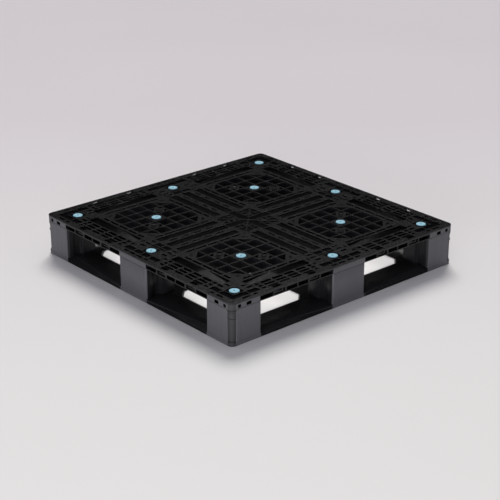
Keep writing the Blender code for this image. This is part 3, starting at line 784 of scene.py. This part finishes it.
        for x0, x1 in ((-40.0, -3.0), (3.0, 40.0)):
            o = spun(rect(x0, 398.0, x1, 420.0), turn)
            top_levels.append(Level(fillet(o, 2.0, 2), Z_PLATE, mat=WELLS))
            o = spun(rect(x0, 426.0, x1, 434.5), turn)
            top_levels.append(Level(fillet(o, 1.6, 2), Z_PLATE, mat=WELLS))

    dashes = [Level(fillet(o, 1.5, 2), Z_RIM - 6.0, mat=WELLS) for o in symmetric([
        rect(421.0, 528.0, 438.0, 537.5), rect(452.0, 528.0, 487.0, 537.5),
        rect(5.0, 528.0, 36.0, 537.5), rect(44.0, 528.0, 70.0, 537.5)])]
    inner = Level(rounded_square(RIM_IN, 6.0, 3), Z_DECK, top_levels + slots + ladder)
    rim = Level(outer, Z_RIM, [inner] + notches + dashes)

    # windows of the open rim; the notched ones are tunnels into their notch
    windows = []
    edges = [80.5] + [t + w * h for t, h in zip(TIES, TIE_HALF) for w in (-1, 1)] + [420.5]
    for a, b in zip(edges[::2], edges[1::2]):
        notch = next((k for k in NOTCHES if a < (k[0] + k[1]) / 2 < b), None)
        windows.append((a, b, 138.0, 151.3 if notch is None else 153.4, notch))
    windows += [(460.5, 482.0, 138.0, 150.0, None), (507.0, 520.0, 138.0, 150.0, None)]
    for o in notches:
        cx = sum(p[0] for p in o) / len(o)
        cy = sum(p[1] for p in o) / len(o)
        across = 1 if abs(cy) > abs(cx) else 0
        u = (cx, cy)[1 - across]
        sgn = math.copysign(1.0, (cx, cy)[across])
        normal = [0.0, 0.0, 0.0]
        normal[across] = -sgn
        spots = [(u - 15.0, 143.6), (u + 15.0, 143.6), (u + 15.0, 152.8), (u - 15.0, 152.8)]
        key = (round(sum(p[0] for p in o), 2), round(sum(p[1] for p in o), 2), len(o))
        s.tunnels[key] = {"across": across, "at": NOTCH_Y[1], "spots": spots, "normal": tuple(normal),
                          "u": u, "sgn": sgn, "ring": None, "floor": Z_NOTCH, "mat": SKIRTS}

    e = 1.5
    r1 = s.ring(outer, -e, Z_RIM, 0.0, 1, 1)
    r2 = s.ring(outer, -e * 0.3, Z_RIM - e * 0.3, 45.0, 1, 1)
    ra = s.ring(outer, 0.0, Z_RIM - e, 90.0, 1, 1)
    rb = s.ring(outer, 0.0, Z_LIP_LOW + 0.5, 90.0, 1, 1)
    rc = s.ring(outer, -0.5, Z_LIP_LOW, 130.0, 1, 1)
    r3 = s.ring(outer, -0.7, Z_LIP_LOW - 0.2, 90.0, 1, 1)
    s.wall(r1, r2, TOPS)
    s.wall(r2, ra, FLANGE)
    s.wall(ra, rb, FLANGE)
    s.wall(rb, rc, FLANGE)
    s.wall(rc, r3, FLANGE)
    s.surface(rim, r1, 1)

    # ---- bottom skin
    q, k = POST_EDGE, POST_HALF
    bay = [(k, SKIRT), (q, SKIRT), (q, q), (SKIRT, q), (SKIRT, k), (q, k), (q, -k), (SKIRT, -k), (SKIRT, -q), (q, -q),
           (q, -SKIRT), (k, -SKIRT), (k, -q), (-k, -q), (-k, -SKIRT), (-q, -SKIRT), (-q, -q), (-SKIRT, -q),
           (-SKIRT, -k), (-q, -k), (-q, k), (-SKIRT, k), (-SKIRT, q), (-q, q), (-q, SKIRT), (-k, SKIRT), (-k, q), (k, q)]
    pockets = []
    for a, b in split(113.0, 390.0, 6):
        pockets.append(rect(a, 426.0, b, 458.0))
    for a, b in split(112.0, 386.0, 6):
        pockets.append(rect(-15.0, a, 15.0, b))
        pockets.append(rect(48.0, a, 74.0, b))
    pockets = [Level(fillet(o, 1.5, 2), 147.2, mat=UNDER, edge=0.6) for o in symmetric(pockets)]
    necks = [circle(p[0], p[1], NECK_HOLE_R, n) for p in panel_spots]
    feet = [Level(circle(p[0], p[1], SEAT_R, n), Z_WEB_LOW, [hole], UNDER) for p, hole in zip(panel_spots, necks)]
    c = 79.0
    centre = Level(fillet(rect(-c, -c, c, c), 3.0, 3), Z_SEAT,
                   [Level(fillet(rect(a0, b0, a1, b1), 1.5, 2), Z_SKIN, mat=UNDER) for a0, a1 in split(-c + 5, c - 5, 3)
                    for b0, b1 in split(-c + 5, c - 5, 3)], UNDER)
    cells = [o for o in panels if max(abs(abs(sum(p[i] for p in o) / len(o)) - PANEL_C) for i in (0, 1)) < PANEL_RIBS_HALF]
    borders = [o for o in panels if o not in cells]
    blocks = []
    for (x, y), foot in zip(panel_spots, feet):
        inside = [o for o in cells if o[0][0] * x > 0 and o[0][1] * y > 0]
        o = rect(x - PANEL_RIBS_HALF, y - PANEL_RIBS_HALF, x + PANEL_RIBS_HALF, y + PANEL_RIBS_HALF)
        blocks.append(Level(fillet(o, 3.0, 2), Z_PANEL_RIB, [foot] + inside, UNDER))
    bays = Level(bay, Z_RIB, [centre] + pockets + blocks + borders + slots_in(slots) + ladder, UNDER)
    under = []
    for sx in (1, -1):
        for sy in (1, -1):
            for i, o in enumerate(pinwheel(424.0, 424.0, 543.0, 543.0, GROMMET_C, GROMMET_C, 21.0)):
                o = [(sx * x, sy * y) for x, y in o]
                if i == 0:
                    under.append(Level(fillet(ccw(o), 1.5, 2), Z_WEB_LOW,
                                       [circle(sx * GROMMET_C, sy * GROMMET_C, NECK_HOLE_R, n)], UNDER))
                    continue
                if i == 3:
                    o = [(sx * x, sy * y) for x, y in rect(443.0, 489.0, 536.0, 536.0)]
                if i == 2:
                    o = [(sx * x, sy * y) for x, y in rect(489.0, 424.0, 536.0, 485.0)]
                if i == 4:
                    o = [(sx * x, sy * y) for x, y in rect(424.0, 443.0, 439.0, 536.0)]
                under.append(Level(fillet(ccw(o), 1.5, 2), Z_SKIN, mat=UNDER))
    for turn in range(4):
        for i, o in enumerate(pinwheel(424.0, -74.0, 540.0, 74.0, GROMMET_C, 0.0, 21.0)):
            o = fillet(ccw(spun(o, turn)), 1.5, 2)
            if i == 0:
                cx, cy = spun([(GROMMET_C, 0.0)], turn)[0]
                under.append(Level(o, Z_WEB_LOW, [circle(cx, cy, NECK_HOLE_R, n)], UNDER))
            else:
                under.append(Level(o, Z_SKIN, mat=UNDER))
    bottom = Level(outer, Z_SEAT, [bays] + under, UNDER)
    b1 = s.ring(outer, -1.4, Z_SEAT, 0.0, -1, 1)
    b2 = s.ring(outer, -0.7, Z_SEAT + 0.8, 90.0, -1, 1)
    s.wall(b1, b2, SKIRTS)
    s.surface(bottom, b1, -1)

    # ---- skirt
    m = len(outer)
    for i in range(m):
        j = (i + 1) % m
        a, b, c_, d = r3[i], r3[j], b2[j], b2[i]
        pa, pb = s.co[a], s.co[b]
        # the short rounded-corner faces of the skirt take the corner strip's painted-shade colour
        if math.hypot(pa[0] - pb[0], pa[1] - pb[1]) < 100.0:
            s.faces.append((a, b, c_, d))
            s.mats.append(STRIPS)
            continue
        along = 0 if abs(pa[1] - pb[1]) < 1e-6 else 1
        across = 1 - along
        face = pa[across]
        sgn = math.copysign(1.0, face)
        rings = [[a, b, c_, d]]
        span = sorted((pa[along], pb[along]))
        mat = BARS if BAY_ENDS[0] < abs(span[0] + span[1]) / 2 < BAY_ENDS[1] else SKIRTS
        for lo, hi, z0, z1, notch in windows:
            for way in (1, -1):
                u0, u1 = sorted((lo * way, hi * way))
                if u0 < span[0] or u1 > span[1]:
                    continue
                base = fillet(rect(u0, z0, u1, z1), 1.2, 2)
                chain = []
                depth = 24.0 if notch is None else 5.5
                beside_post = lo < 82.0 or 400.0 < hi < 425.0
                for off, back, tilt in ((0.6, 0.0, 0.0), (0.0, 0.6, 90.0), (0.0, depth - 0.5, 90.0), (-0.5, depth, 0.0)):
                    st, ct = math.sin(math.radians(tilt)), math.cos(math.radians(tilt))
                    ring = []
                    for (u, z), (mi, nn) in zip(base, rays(base)):
                        co, no = [0.0, 0.0, z + mi[1] * off], [0.0, 0.0, -nn[1] * st]
                        co[along], co[across] = u + mi[0] * off, face - sgn * back
                        no[along], no[across] = -nn[0] * st, sgn * ct
                        ring.append(s.vert(*co, tuple(no)))
                    chain.append(ring)
                for k2, (ra, rb) in enumerate(zip(chain[:-1], chain[1:])):
                    first = len(s.faces)
                    s.wall(ra, rb, mat if k2 == 0 else DARK)
                    if k2 and beside_post:
                        # the end of the window that is the upright wall of the post, in the post walls' painted-shade
                        # colour
                        for f in range(first, len(s.faces)):
                            us = [s.co[v][along] * way for v in s.faces[f]]
                            if (max(us) < 81.6) if lo < 82.0 else (min(us) > 419.4):
                                s.mats[f] = REVEAL
                rings.append(chain[0])
                if notch is None:
                    s.fill([chain[-1]], DARK, (along, 2))
                    continue
                u = way * (notch[0] + notch[1]) / 2
                t = next(t for t in s.tunnels.values()
                         if t["across"] == across and t["sgn"] == sgn and abs(t["u"] - u) < 1e-3)
                mouth = []
                no = [0.0, 0.0, 0.0]
                no[across] = sgn
                for uu, z in t["spots"]:
                    co = [0.0, 0.0, z]
                    co[along], co[across] = uu, face - sgn * depth
                    mouth.append(s.vert(*co, tuple(no)))
                s.fill([chain[-1], mouth], DARK, (along, 2))
                s.wall(mouth, t["ring"], UNDER)
        s.fill(rings, mat, (along, 2))
    return s.finish(DECK_MATS)


def slots_in(slots):
    return slots


# ================================================================= lower deck
def octagon(cx, cy, half, cut):
    k = half - cut
    return [(cx + x, cy + y) for x, y in ((half, -k), (half, k), (k, half), (-k, half),
                                          (-half, k), (-half, -k), (-k, -half), (k, -half))]


def lower_deck():
    s = Moulding("lower_deck_detailed")
    cw, hw = (WHEEL_LO + WHEEL_HI) / 2, (WHEEL_HI - WHEEL_LO) / 2
    base = rounded_square(HALF, CORNER_R, 8)
    outline, heights = [], []
    marks = [POST_EDGE - 1.0, POST_EDGE - 5.0, POST_HALF + 5.0, POST_HALF + 1.0]
    marks = marks + [-v for v in reversed(marks)]
    marks_z = [Z_LOWER, Z_ENTRY, Z_ENTRY, Z_LOWER] * 2
    m = len(base)
    for i in range(m):
        a, b = base[i], base[(i + 1) % m]
        outline.append(a)
        heights.append(Z_LOWER)
        if math.hypot(a[0] - b[0], a[1] - b[1]) < 100.0:
            continue
        along = 0 if abs(a[1] - b[1]) < 1e-6 else 1
        seq = list(zip(marks, marks_z))
        if a[along] < b[along]:
            seq = seq[::-1]
        for u, z in seq:
            p = [a[0], a[1]]
            p[along] = u
            outline.append(tuple(p))
            heights.append(z)

    e = 0.9
    t1 = s.ring(outline, -e, heights, 0.0, 1, 1)
    t2 = s.ring(outline, 0.0, [z - e for z in heights], 90.0, 1, 1)
    l2 = s.ring(outline, 0.0, e, 90.0, -1, 1)
    l1 = s.ring(outline, -e, 0.0, 0.0, -1, 1)
    count = len(outline)
    # outer edge faces: under the posts in the posts' painted-light face colour, at the rounded corners in the strip's
    # painted-shade colour, in the fork openings in the underside colour
    for a, b in ((t1, t2), (t2, l2), (l2, l1)):
        for i in range(count):
            j = (i + 1) % count
            x, y = ((abs(outline[i][k]) + abs(outline[j][k])) / 2 for k in (0, 1))
            u = min(abs(outline[i][0] + outline[j][0]), abs(outline[i][1] + outline[j][1])) / 2
            s.faces.append((a[i], a[j], b[j], b[i]))
            arc = max(abs(outline[i][k] - outline[j][k]) for k in (0, 1)) < 10.0 and min(x, y) > HALF - CORNER_R
            s.mats.append(STRIPS if arc else SKIRTS if u < POST_HALF or u > POST_EDGE - 1.0 else PLATES)
    crest_ring = s.ring(rounded_square(HALF - ENTRY_RUN, 10.0, 4), 0.0, Z_LOWER, 0.0, 1, 1)
    s.fill([t1, crest_ring], TOPS)
    rings, low_rings = [crest_ring], [l1]
    for sx in (1, -1):
        for sy in (1, -1):
            hole = fillet(octagon(sx * cw, sy * cw, hw, WHEEL_CUT), 5.0, 3)
            crest = fillet(octagon(sx * cw, sy * cw, hw + RAMP, WHEEL_CUT + RAMP * 0.586), 12.0, 3)
            c_ring = s.ring(crest, 0.0, Z_LOWER, 0.0, 1, 1)
            h1 = s.ring(hole, 0.6, Z_LIP, 0.0, 1, -1)
            h2 = s.ring(hole, 0.0, Z_LIP - 0.6, 90.0, 1, -1)
            h3 = s.ring(hole, 0.0, 0.6, 90.0, -1, -1)
            h4 = s.ring(hole, 0.6, 0.0, 0.0, -1, -1)
            s.fill([c_ring, h1], TOPS)
            s.wall(h1, h2, TOPS)
            s.wall(h2, h3, TOPS)
            s.wall(h3, h4, TOPS)
            rings.append(c_ring)
            low_rings.append(h4)
    s.fill(rings, TOPS)
    pockets = []
    for a, b in split(118.0, 383.0, 5, 5.0):
        pockets.append(rect(a, 448.0, b, 475.5))
        pockets.append(rect(a, 480.5, b, 508.0))
        pockets.append(rect(-50.0, a, -2.5, b))
        pockets.append(rect(2.5, a, 50.0, b))
    for a, b in split(428.0, 524.0, 2, 5.0):
        for c, d in split(428.0, 524.0, 2, 5.0):
            pockets.append(rect(a, c, b, d))
        pockets.append(rect(4.0, a, 66.0, b))
    pockets.append(rect(4.0, 4.0, 66.0, 66.0))
    for o in symmetric([fillet(o, 3.0, 2) for o in pockets]):
        p1 = s.ring(o, 0.6, 0.0, 0.0, -1, -1)
        p2 = s.ring(o, 0.0, 0.6, 90.0, -1, -1)
        p3 = s.ring(o, 0.0, Z_LOWER - 4.0, 90.0, -1, -1)
        p4 = s.ring(o, -0.5, Z_LOWER - 3.5, 0.0, -1, -1)
        s.wall(p1, p2, TOPS)
        s.wall(p2, p3, TOPS)
        s.wall(p3, p4, TOPS)
        s.fill([p4], TOPS)
        low_rings.append(p1)
    s.fill(low_rings, TOPS)
    return s.finish({TOPS: LOWER_TOP, PLATES: DECK_UNDER, SKIRTS: POST_MAT, STRIPS: STRIP_MAT}, smooth_angle=32)


# ================================================================= posts
def post(name, bands, cells):
    """A hollow post: 'bands' gives (height, outline) rings from the top down, with equal point counts."""
    s = Moulding(name)
    z_top, z_low = bands[0][0], bands[-1][0]
    rings = []
    for k, (z, o) in enumerate(bands):
        rings.append([s.vert(x, y, z, (0.0, 0.0, 0.0)) for x, y in o])
    count = len(rings[0])
    for a, b in zip(rings[:-1], rings[1:]):
        for i in range(count):
            j = (i + 1) % count
            x, y = ((s.co[a[i]][k] + s.co[a[j]][k]) / 2 for k in (0, 1))
            s.faces.append((a[i], a[j], b[j], b[i]))
            # painted light and shade: outward faces take the painted-light face colour, fork-way walls the
            # painted-shade wall colour, and the strip colour goes on the rounded corner as painted shade and on the
            # first 13.5 mm of each fork-way wall at its mouth as a painted light band
            arc = min(abs(x), abs(y)) > HALF - CORNER_R - 2.0
            mouth_band_painted_light = max(abs(x), abs(y)) > HALF - 13.5 and abs(min(abs(x), abs(y)) - POST_EDGE) < 1.0
            s.mats.append(STRIPS if arc else TOPS if max(abs(x), abs(y)) > HALF - 7.0 else STRIPS if mouth_band_painted_light else PLATES)
    tops, lows = [rings[0]], [rings[-1]]
    for o in cells:
        o = fillet(ccw(o), 2.5, 3)
        a = [s.vert(x, y, z_top, (0.0, 0.0, 0.0)) for x, y in o]
        b = [s.vert(x, y, z_low, (0.0, 0.0, 0.0)) for x, y in o]
        s.wall(a, b, PLATES)
        tops.append(a)
        lows.append(b)
    s.fill(tops, PLATES)
    s.fill(lows, PLATES)
    return s.finish({TOPS: POST_MAT, PLATES: POST_WALL, STRIPS: STRIP_MAT}, smooth_angle=40)


def pushed(outline, amount):
    return [(x + mi[0] * amount, y + mi[1] * amount) for (x, y), (mi, _n) in zip(outline, rays(outline))]


def flutes(u0, u1, n, wide, deep):
    """(position along, sunk depth) pairs of shallow upright grooves between u0 and u1."""
    out = []
    for k in range(n):
        c = u0 + (u1 - u0) * (k + 0.5) / n
        out += [(c - wide, 0.0), (c - wide * 0.45, deep), (c + wide * 0.45, deep), (c + wide, 0.0)]
    return out


def corner_outline(strip, flange=0.0):
    """Plan of the +X +Y corner post; strip is how far the rounded outer corner is sunk."""
    o, e, r = HALF, POST_EDGE, CORNER_R
    w = 4.0
    pts = [(e + 2.0, e), (o - FLUTE_B - w, e)]
    pts += [(o - FLUTE_B, e + w), (o - FLUTE_B, e + FLUTE_D - w), (o - FLUTE_B + w, e + FLUTE_D),
            (o - FLUTE_A - w, e + FLUTE_D), (o - FLUTE_A, e + FLUTE_D - w), (o - FLUTE_A, e + w), (o - FLUTE_A + w, e)]
    pts += [(o - 13.0, e), (o - 3.0, e), (o - 1.4, e + 0.5), (o - 0.4, e + 1.6), (o, e + 3.2)]
    for u, d in flutes(e + 10.0, o - r - 8.0, 3, 3.0, 0.12):
        pts.append((o - d, u))
    pts += [(o, o - r - 3.4), (o - strip * 0.5, o - r - 2.0), (o - strip, o - r - 1.4)]
    rr = r - strip
    cx = o - r
    for i in range(0, 7):
        a = math.pi / 2 * i / 6
        pts.append((cx + rr * math.cos(a), cx + rr * math.sin(a)))
    half = pts[:]
    # mirror across the diagonal, skipping the shared middle of the arc
    cut = [p for p in half if p[0] >= p[1] - 1e-6]
    mirror = [(y, x) for x, y in reversed(cut) if abs(x - y) > 1e-6]
    return [p for p in cut] + mirror


def corner_post(name, sx, sy):
    deep, flush = corner_outline(3.4), corner_outline(0.5)
    tick = corner_outline(1.9)
    stack = [(POST_TOP, flush), (131.2, flush), (130.6, deep), (129.6, deep), (128.9, flush), (126.4, flush), (125.7, deep),
             (121.4, deep), (120.9, tick), (119.7, tick), (119.2, deep),
             (101.8, deep), (101.1, flush), (98.6, flush), (97.9, deep), (40.0, deep), (20.4, deep), (19.8, tick), (18.8, tick),
             (18.2, deep), (POST_LOW, deep)]
    w = WALL
    o, e = HALF, POST_EDGE
    x0, x1, x2, x3 = e + w, o - FLUTE_B - w, o - FLUTE_B, o - 8.0
    cells = [rect(x0, x0, x1, x1), rect(x2, e + FLUTE_D + w, x3, x1), rect(e + FLUTE_D + w, x2, x1, x3), rect(x2, x2, x3, x3)]
    bands = [(z, [(sx * x, sy * y) for x, y in plan]) for z, plan in stack]
    if sx * sy < 0:
        bands = [(z, plan[::-1]) for z, plan in bands]
    return post(name, bands, [[(sx * x, sy * y) for x, y in c] for c in cells])


def side_outline():
    o, e, k, w = HALF, POST_EDGE, POST_HALF, 4.0
    low = [(e + 2.0, -k), (o - FLUTE_B - w, -k), (o - FLUTE_B, -k + w), (o - FLUTE_B, -k + FLUTE_D - w),
           (o - FLUTE_B + w, -k + FLUTE_D), (o - FLUTE_A - w, -k + FLUTE_D), (o - FLUTE_A, -k + FLUTE_D - w),
           (o - FLUTE_A, -k + w), (o - FLUTE_A + w, -k)]
    for i in range(6):
        a = -math.pi / 2 + math.pi / 2 * i / 5
        low.append((o - 6.0 + 6.0 * math.cos(a), -k + 6.0 + 6.0 * math.sin(a)))
    face = [(o - d, u) for u, d in flutes(-k + 14.0, k - 14.0, 5, 3.5, 0.14)]
    high = [(x, -y) for x, y in reversed(low)]
    return low + face + high + [(e, k - 2.0), (e, -k + 2.0)]


def side_post(name, turn):
    plan = side_outline()
    bands = [(z, spun(pushed(plan, off), turn)) for z, off in
             ((POST_TOP, -0.5), (POST_TOP - 0.6, 0.0), (POST_LOW + 0.6, 0.0), (POST_LOW, -0.5))]
    o, e, k, w = HALF, POST_EDGE, POST_HALF, WALL
    in0, in1 = -k + FLUTE_D + w, k - FLUTE_D - w
    cells = [rect(e + w, -k + w, o - FLUTE_B - w, -w / 2), rect(e + w, w / 2, o - FLUTE_B - w, k - w),
             rect(o - FLUTE_B, in0, o - w - 1.0, -w / 2), rect(o - FLUTE_B, w / 2, o - w - 1.0, in1)]
    return post(name, bands, [spun(c, turn) for c in cells])


def centre_post():
    k, w = 79.0, WALL
    plan = fillet(rect(-k, -k, k, k), 8.0, 5)
    faces = []
    for i, p in enumerate(plan):
        faces.append(p)
        q = plan[(i + 1) % len(plan)]
        if math.hypot(p[0] - q[0], p[1] - q[1]) > 50.0:
            d = Vector((q[0] - p[0], q[1] - p[1]))
            length = d.length
            d.normalize()
            nrm = Vector((d.y, -d.x))
            for u, dep in flutes(16.0, length - 16.0, 4, 3.0, 0.14):
                faces.append((p[0] + d.x * u - nrm.x * dep, p[1] + d.y * u - nrm.y * dep))
    bands = [(z, pushed(faces, off)) for z, off in
             ((POST_TOP, -0.5), (POST_TOP - 0.6, 0.0), (POST_LOW + 0.6, 0.0), (POST_LOW, -0.5))]
    cells = [rect(a0, b0, a1, b1) for a0, a1 in split(-k + w + 1, k - w - 1, 2, w) for b0, b1 in split(-k + w + 1, k - w - 1, 2, w)]
    return post("post_centre_detailed", bands, cells)


# ================================================================= grommets
def grommet_mesh():
    """Turned rubber spool: domed head with a fine ring groove and a bore, neck, and flared foot."""
    top, low = Z_WEB_TOP + GAP, Z_WEB_LOW - GAP
    profile = [(3.2, Z_FOOT + 0.4), (3.8, Z_FOOT), (13.6, Z_FOOT), (14.6, Z_FOOT + 0.4), (16.6, low - 1.2), (FOOT_R, low - 0.5),
               (16.6, low), (NECK_R + 0.6, low), (NECK_R, low + 0.6), (NECK_R, top - 0.6), (NECK_R + 0.6, top),
               (HEAD_R - 0.5, top), (HEAD_R, top + 0.5), (HEAD_R, Z_HEAD - 2.2), (HEAD_R - 0.3, Z_HEAD - 1.2),
               (HEAD_R - 1.0, Z_HEAD - 0.5), (HEAD_R - 2.0, Z_HEAD - 0.12), (HEAD_R - 3.2, Z_HEAD),
               (13.2, Z_HEAD), (12.9, Z_HEAD - 0.15), (12.7, Z_HEAD - 0.6), (12.1, Z_HEAD - 0.6), (11.9, Z_HEAD - 0.15), (11.6, Z_HEAD),
               (6.0, Z_HEAD - 0.05), (4.6, Z_HEAD - 0.35), (3.8, Z_HEAD - 0.9), (3.2, Z_HEAD - 1.8)]
    sides = 48
    bm = bmesh.new()
    rings = []
    for i in range(sides):
        a = 2 * math.pi * i / sides
        rings.append([bm.verts.new((r * math.cos(a) * MM, r * math.sin(a) * MM, z * MM)) for r, z in profile])
    n = len(profile)
    for i in range(sides):
        a, b = rings[i], rings[(i + 1) % sides]
        for k in range(n):
            bm.faces.new((a[k], b[k], b[(k + 1) % n], a[(k + 1) % n]))
    bmesh.ops.recalc_face_normals(bm, faces=bm.faces)
    if bm.calc_volume(signed=True) < 0:
        bmesh.ops.reverse_faces(bm, faces=bm.faces)
    me = bpy.data.meshes.new("grommet_detailed")
    bm.to_mesh(me)
    bm.free()
    me.materials.append(BLUE)
    me.shade_smooth()
    me.set_sharp_from_angle(angle=math.radians(50))
    return me


# ================================================================= the object
def stands_for(ob, node):
    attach(ob, "root")
    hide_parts(node)


stands_for(upper_deck(), "upper_deck")
stands_for(lower_deck(), "lower_deck")
for fy, sy in (("front", -1), ("rear", 1)):
    for fx, sx in (("left", -1), ("right", 1)):
        node = "post_%s_%s" % (fy, fx)
        stands_for(corner_post(node + "_detailed", sx, sy), node)
for node, turn in (("post_middle_right", 0), ("post_rear_middle", 1), ("post_middle_left", 2), ("post_front_middle", 3)):
    stands_for(side_post(node + "_detailed", turn), node)
stands_for(centre_post(), "post_centre")

GROMMET = grommet_mesh()


def grommet(node, x, y, turn):
    ob = bpy.data.objects.new(node + "_detailed", GROMMET)
    ob.location = (x * MM, y * MM, 0.0)
    ob.rotation_euler = (0.0, 0.0, math.radians(turn))
    SCENE.collection.objects.link(ob)
    stands_for(ob, node)


count = 0
for fy, sy in (("front", -1), ("middle", 0), ("rear", 1)):
    for fx, sx in (("left", -1), ("middle", 0), ("right", 1)):
        if sx or sy:
            grommet("grommet_%s_%s" % (fy, fx), sx * GROMMET_C, sy * GROMMET_C, 3.0 * count)
            count += 1
        if sx and sy:
            grommet("fork_way_grommet_%s_%s" % (fy, fx), sx * PANEL_C, sy * PANEL_C, 3.0 * count)
            count += 1


# ================================================================= floor
def floor():
    bm = bmesh.new()
    n, size = 24, 30.0
    grid = [[bm.verts.new((size * (i / n - 0.5), size * (j / n - 0.5), 0.0)) for i in range(n + 1)] for j in range(n + 1)]
    for j in range(n):
        for i in range(n):
            bm.faces.new((grid[j][i], grid[j][i + 1], grid[j + 1][i + 1], grid[j + 1][i]))
    me = bpy.data.meshes.new("floor")
    bm.to_mesh(me)
    bm.free()
    n = Nodes("pale_floor")
    tone = n.noise(0.9, 2.0)
    # the sweep darkens slightly, and warms to pink, away from the front
    sep = n.put("ShaderNodeSeparateXYZ")
    n.link(n.coords, sep.inputs[0])
    along = n.math("ADD", n.math("MULTIPLY", sep.outputs["X"], 0.656), n.math("MULTIPLY", sep.outputs["Y"], 0.755))
    fade = n.span(along, -1.0, 1.7, 0.0, 1.0)
    base = n.mix(fade, (0.722, 0.718, 0.706), (0.655, 0.620, 0.645))
    base = n.mix(n.span(tone, 0.3, 0.7, 0.0, 0.08), base, (0.77, 0.765, 0.77))
    n.link(base, n.bsdf.inputs["Base Color"])
    n.bsdf.inputs["Roughness"].default_value = 0.9
    n.bsdf.inputs["Specular IOR Level"].default_value = 0.0
    me.materials.append(n.mat)
    ob = bpy.data.objects.new("floor", me)
    ob.location = (0.0, 0.0, -0.0004)
    SCENE.collection.objects.link(ob)


floor()


# ================================================================= light
def area(name, place, aim, size, power, colour, size_y=None):
    lamp = bpy.data.lights.new(name, "AREA")
    lamp.shape = "RECTANGLE"
    lamp.size = size
    lamp.size_y = size_y or size
    lamp.energy = power
    lamp.color = colour
    ob = bpy.data.objects.new(name, lamp)
    ob.location = place
    ob.rotation_mode = "QUATERNION"
    ob.rotation_quaternion = (Vector(aim) - Vector(place)).to_track_quat("-Z", "Y")
    ob.visible_camera = False
    SCENE.collection.objects.link(ob)
    return ob


def world():
    w = bpy.data.worlds.new("studio")
    SCENE.world = w
    w.use_nodes = True
    nt = w.node_tree
    nt.nodes.clear()
    out = nt.nodes.new("ShaderNodeOutputWorld")
    coords = nt.nodes.new("ShaderNodeTexCoord")
    sep = nt.nodes.new("ShaderNodeSeparateXYZ")
    nt.links.new(coords.outputs["Generated"], sep.inputs[0])
    # a soft overhead canopy: dark near the horizon, bright from about 28 degrees up
    ramp = nt.nodes.new("ShaderNodeValToRGB")
    cr = ramp.color_ramp
    stops = ((0.0, 0.006), (0.44, 0.009), (0.52, 0.03), (0.62, 0.44), (1.0, 0.50))
    while len(cr.elements) < len(stops):
        cr.elements.new(0.5)
    for el, (pos, v) in zip(cr.elements, stops):
        el.position = pos
        el.color = (v * 0.965, v * 0.97, v * 1.08, 1.0)
    nt.links.new(sep.outputs["Z"], ramp.inputs["Fac"])
    soft = nt.nodes.new("ShaderNodeBackground")
    nt.links.new(ramp.outputs["Color"], soft.inputs["Color"])
    soft.inputs["Strength"].default_value = 1.0
    pale = nt.nodes.new("ShaderNodeBackground")
    pale.inputs["Color"].default_value = (0.62, 0.60, 0.615, 1.0)
    path = nt.nodes.new("ShaderNodeLightPath")
    mix = nt.nodes.new("ShaderNodeMixShader")
    nt.links.new(path.outputs["Is Camera Ray"], mix.inputs["Fac"])
    nt.links.new(soft.outputs[0], mix.inputs[1])
    nt.links.new(pale.outputs[0], mix.inputs[2])
    nt.links.new(mix.outputs[0], out.inputs["Surface"])


world()


def polar(azimuth, elevation, distance):
    """A place seen from the pallet at that azimuth (0 along +X, 90 along +Y) and elevation, in degrees."""
    a, e = math.radians(azimuth), math.radians(elevation)
    return (distance * math.cos(a) * math.cos(e), distance * math.sin(a) * math.cos(e), distance * math.sin(e))


key = bpy.data.lights.new("key_light", "SUN")
key.energy = 2.55
key.angle = math.radians(28.0)
key.color = (1.0, 0.975, 0.93)
key_ob = bpy.data.objects.new("key_light", key)
key_ob.location = polar(47.5, 49.0, 6.0)
key_ob.rotation_mode = "QUATERNION"
key_ob.rotation_quaternion = (-Vector(polar(47.5, 49.0, 1.0))).to_track_quat("-Z", "Y")
SCENE.collection.objects.link(key_ob)
area("front_fill", polar(214.0, 9.0, 8.0), (0.0, 0.0, 0.10), 5.0, 300.0, (0.95, 0.955, 1.0), 2.0)
area("back_panel", polar(47.0, 0.0, 3.5)[:2] + (3.15,), (0.0, 0.0, 3.15), 5.0, 8.4, (0.97, 0.98, 1.05), 2.15)


# small soft lamps just above the floor in the wheel openings, shining down on the floor inside the fork ways
for k, (x, y) in enumerate(((-0.2505, -0.352), (0.2505, -0.352), (-0.352, -0.1875), (-0.352, 0.2505))):
    length, depth = 0.322, 0.122
    if k == 2:
        length = 0.196
    if abs(x) > abs(y):
        length, depth = depth, length
    area("fork_way_lamp_%d" % k, (x, y, 0.005), (x, y, 0.0), length, 2.75 * length * depth, (1.0, 0.99, 0.98), depth)


# and four under the cross band, which lift the beams of the lower deck out of the dark
for k, (x, y) in enumerate(((0.0, -0.245), (0.0, 0.245), (-0.245, 0.0), (0.245, 0.0))):
    wide, deep = (0.13, 0.26) if abs(y) > abs(x) else (0.26, 0.13)
    area("cross_beam_lamp_%d" % k, (x, y, 0.126), (x, y, 0.0), wide, 0.11, (1.0, 0.99, 0.98), deep)
    bpy.data.objects["cross_beam_lamp_%d" % k].visible_glossy = False


# ================================================================= camera
def camera():
    data = bpy.data.cameras.new("camera")
    data.lens = 102.672
    data.sensor_width = 36.0
    data.clip_start, data.clip_end = 0.1, 60.0
    ob = bpy.data.objects.new("camera", data)
    cols = ((0.754773, -0.655986, -0.000402), (0.254742, 0.292539, 0.921698), (-0.604504, -0.695775, 0.387907))
    m = Matrix([[cols[c][r] for c in range(3)] for r in range(3)]).to_4x4()
    m.translation = (-3.3132, -3.8246, 2.1604)
    ob.matrix_world = m
    SCENE.collection.objects.link(ob)
    SCENE.camera = ob


camera()
SCENE.view_settings.view_transform = "Standard"
SCENE.view_settings.look = "None"
SCENE.view_settings.exposure = 0.0
SCENE.view_settings.gamma = 1.0

bpy.context.view_layer.update()
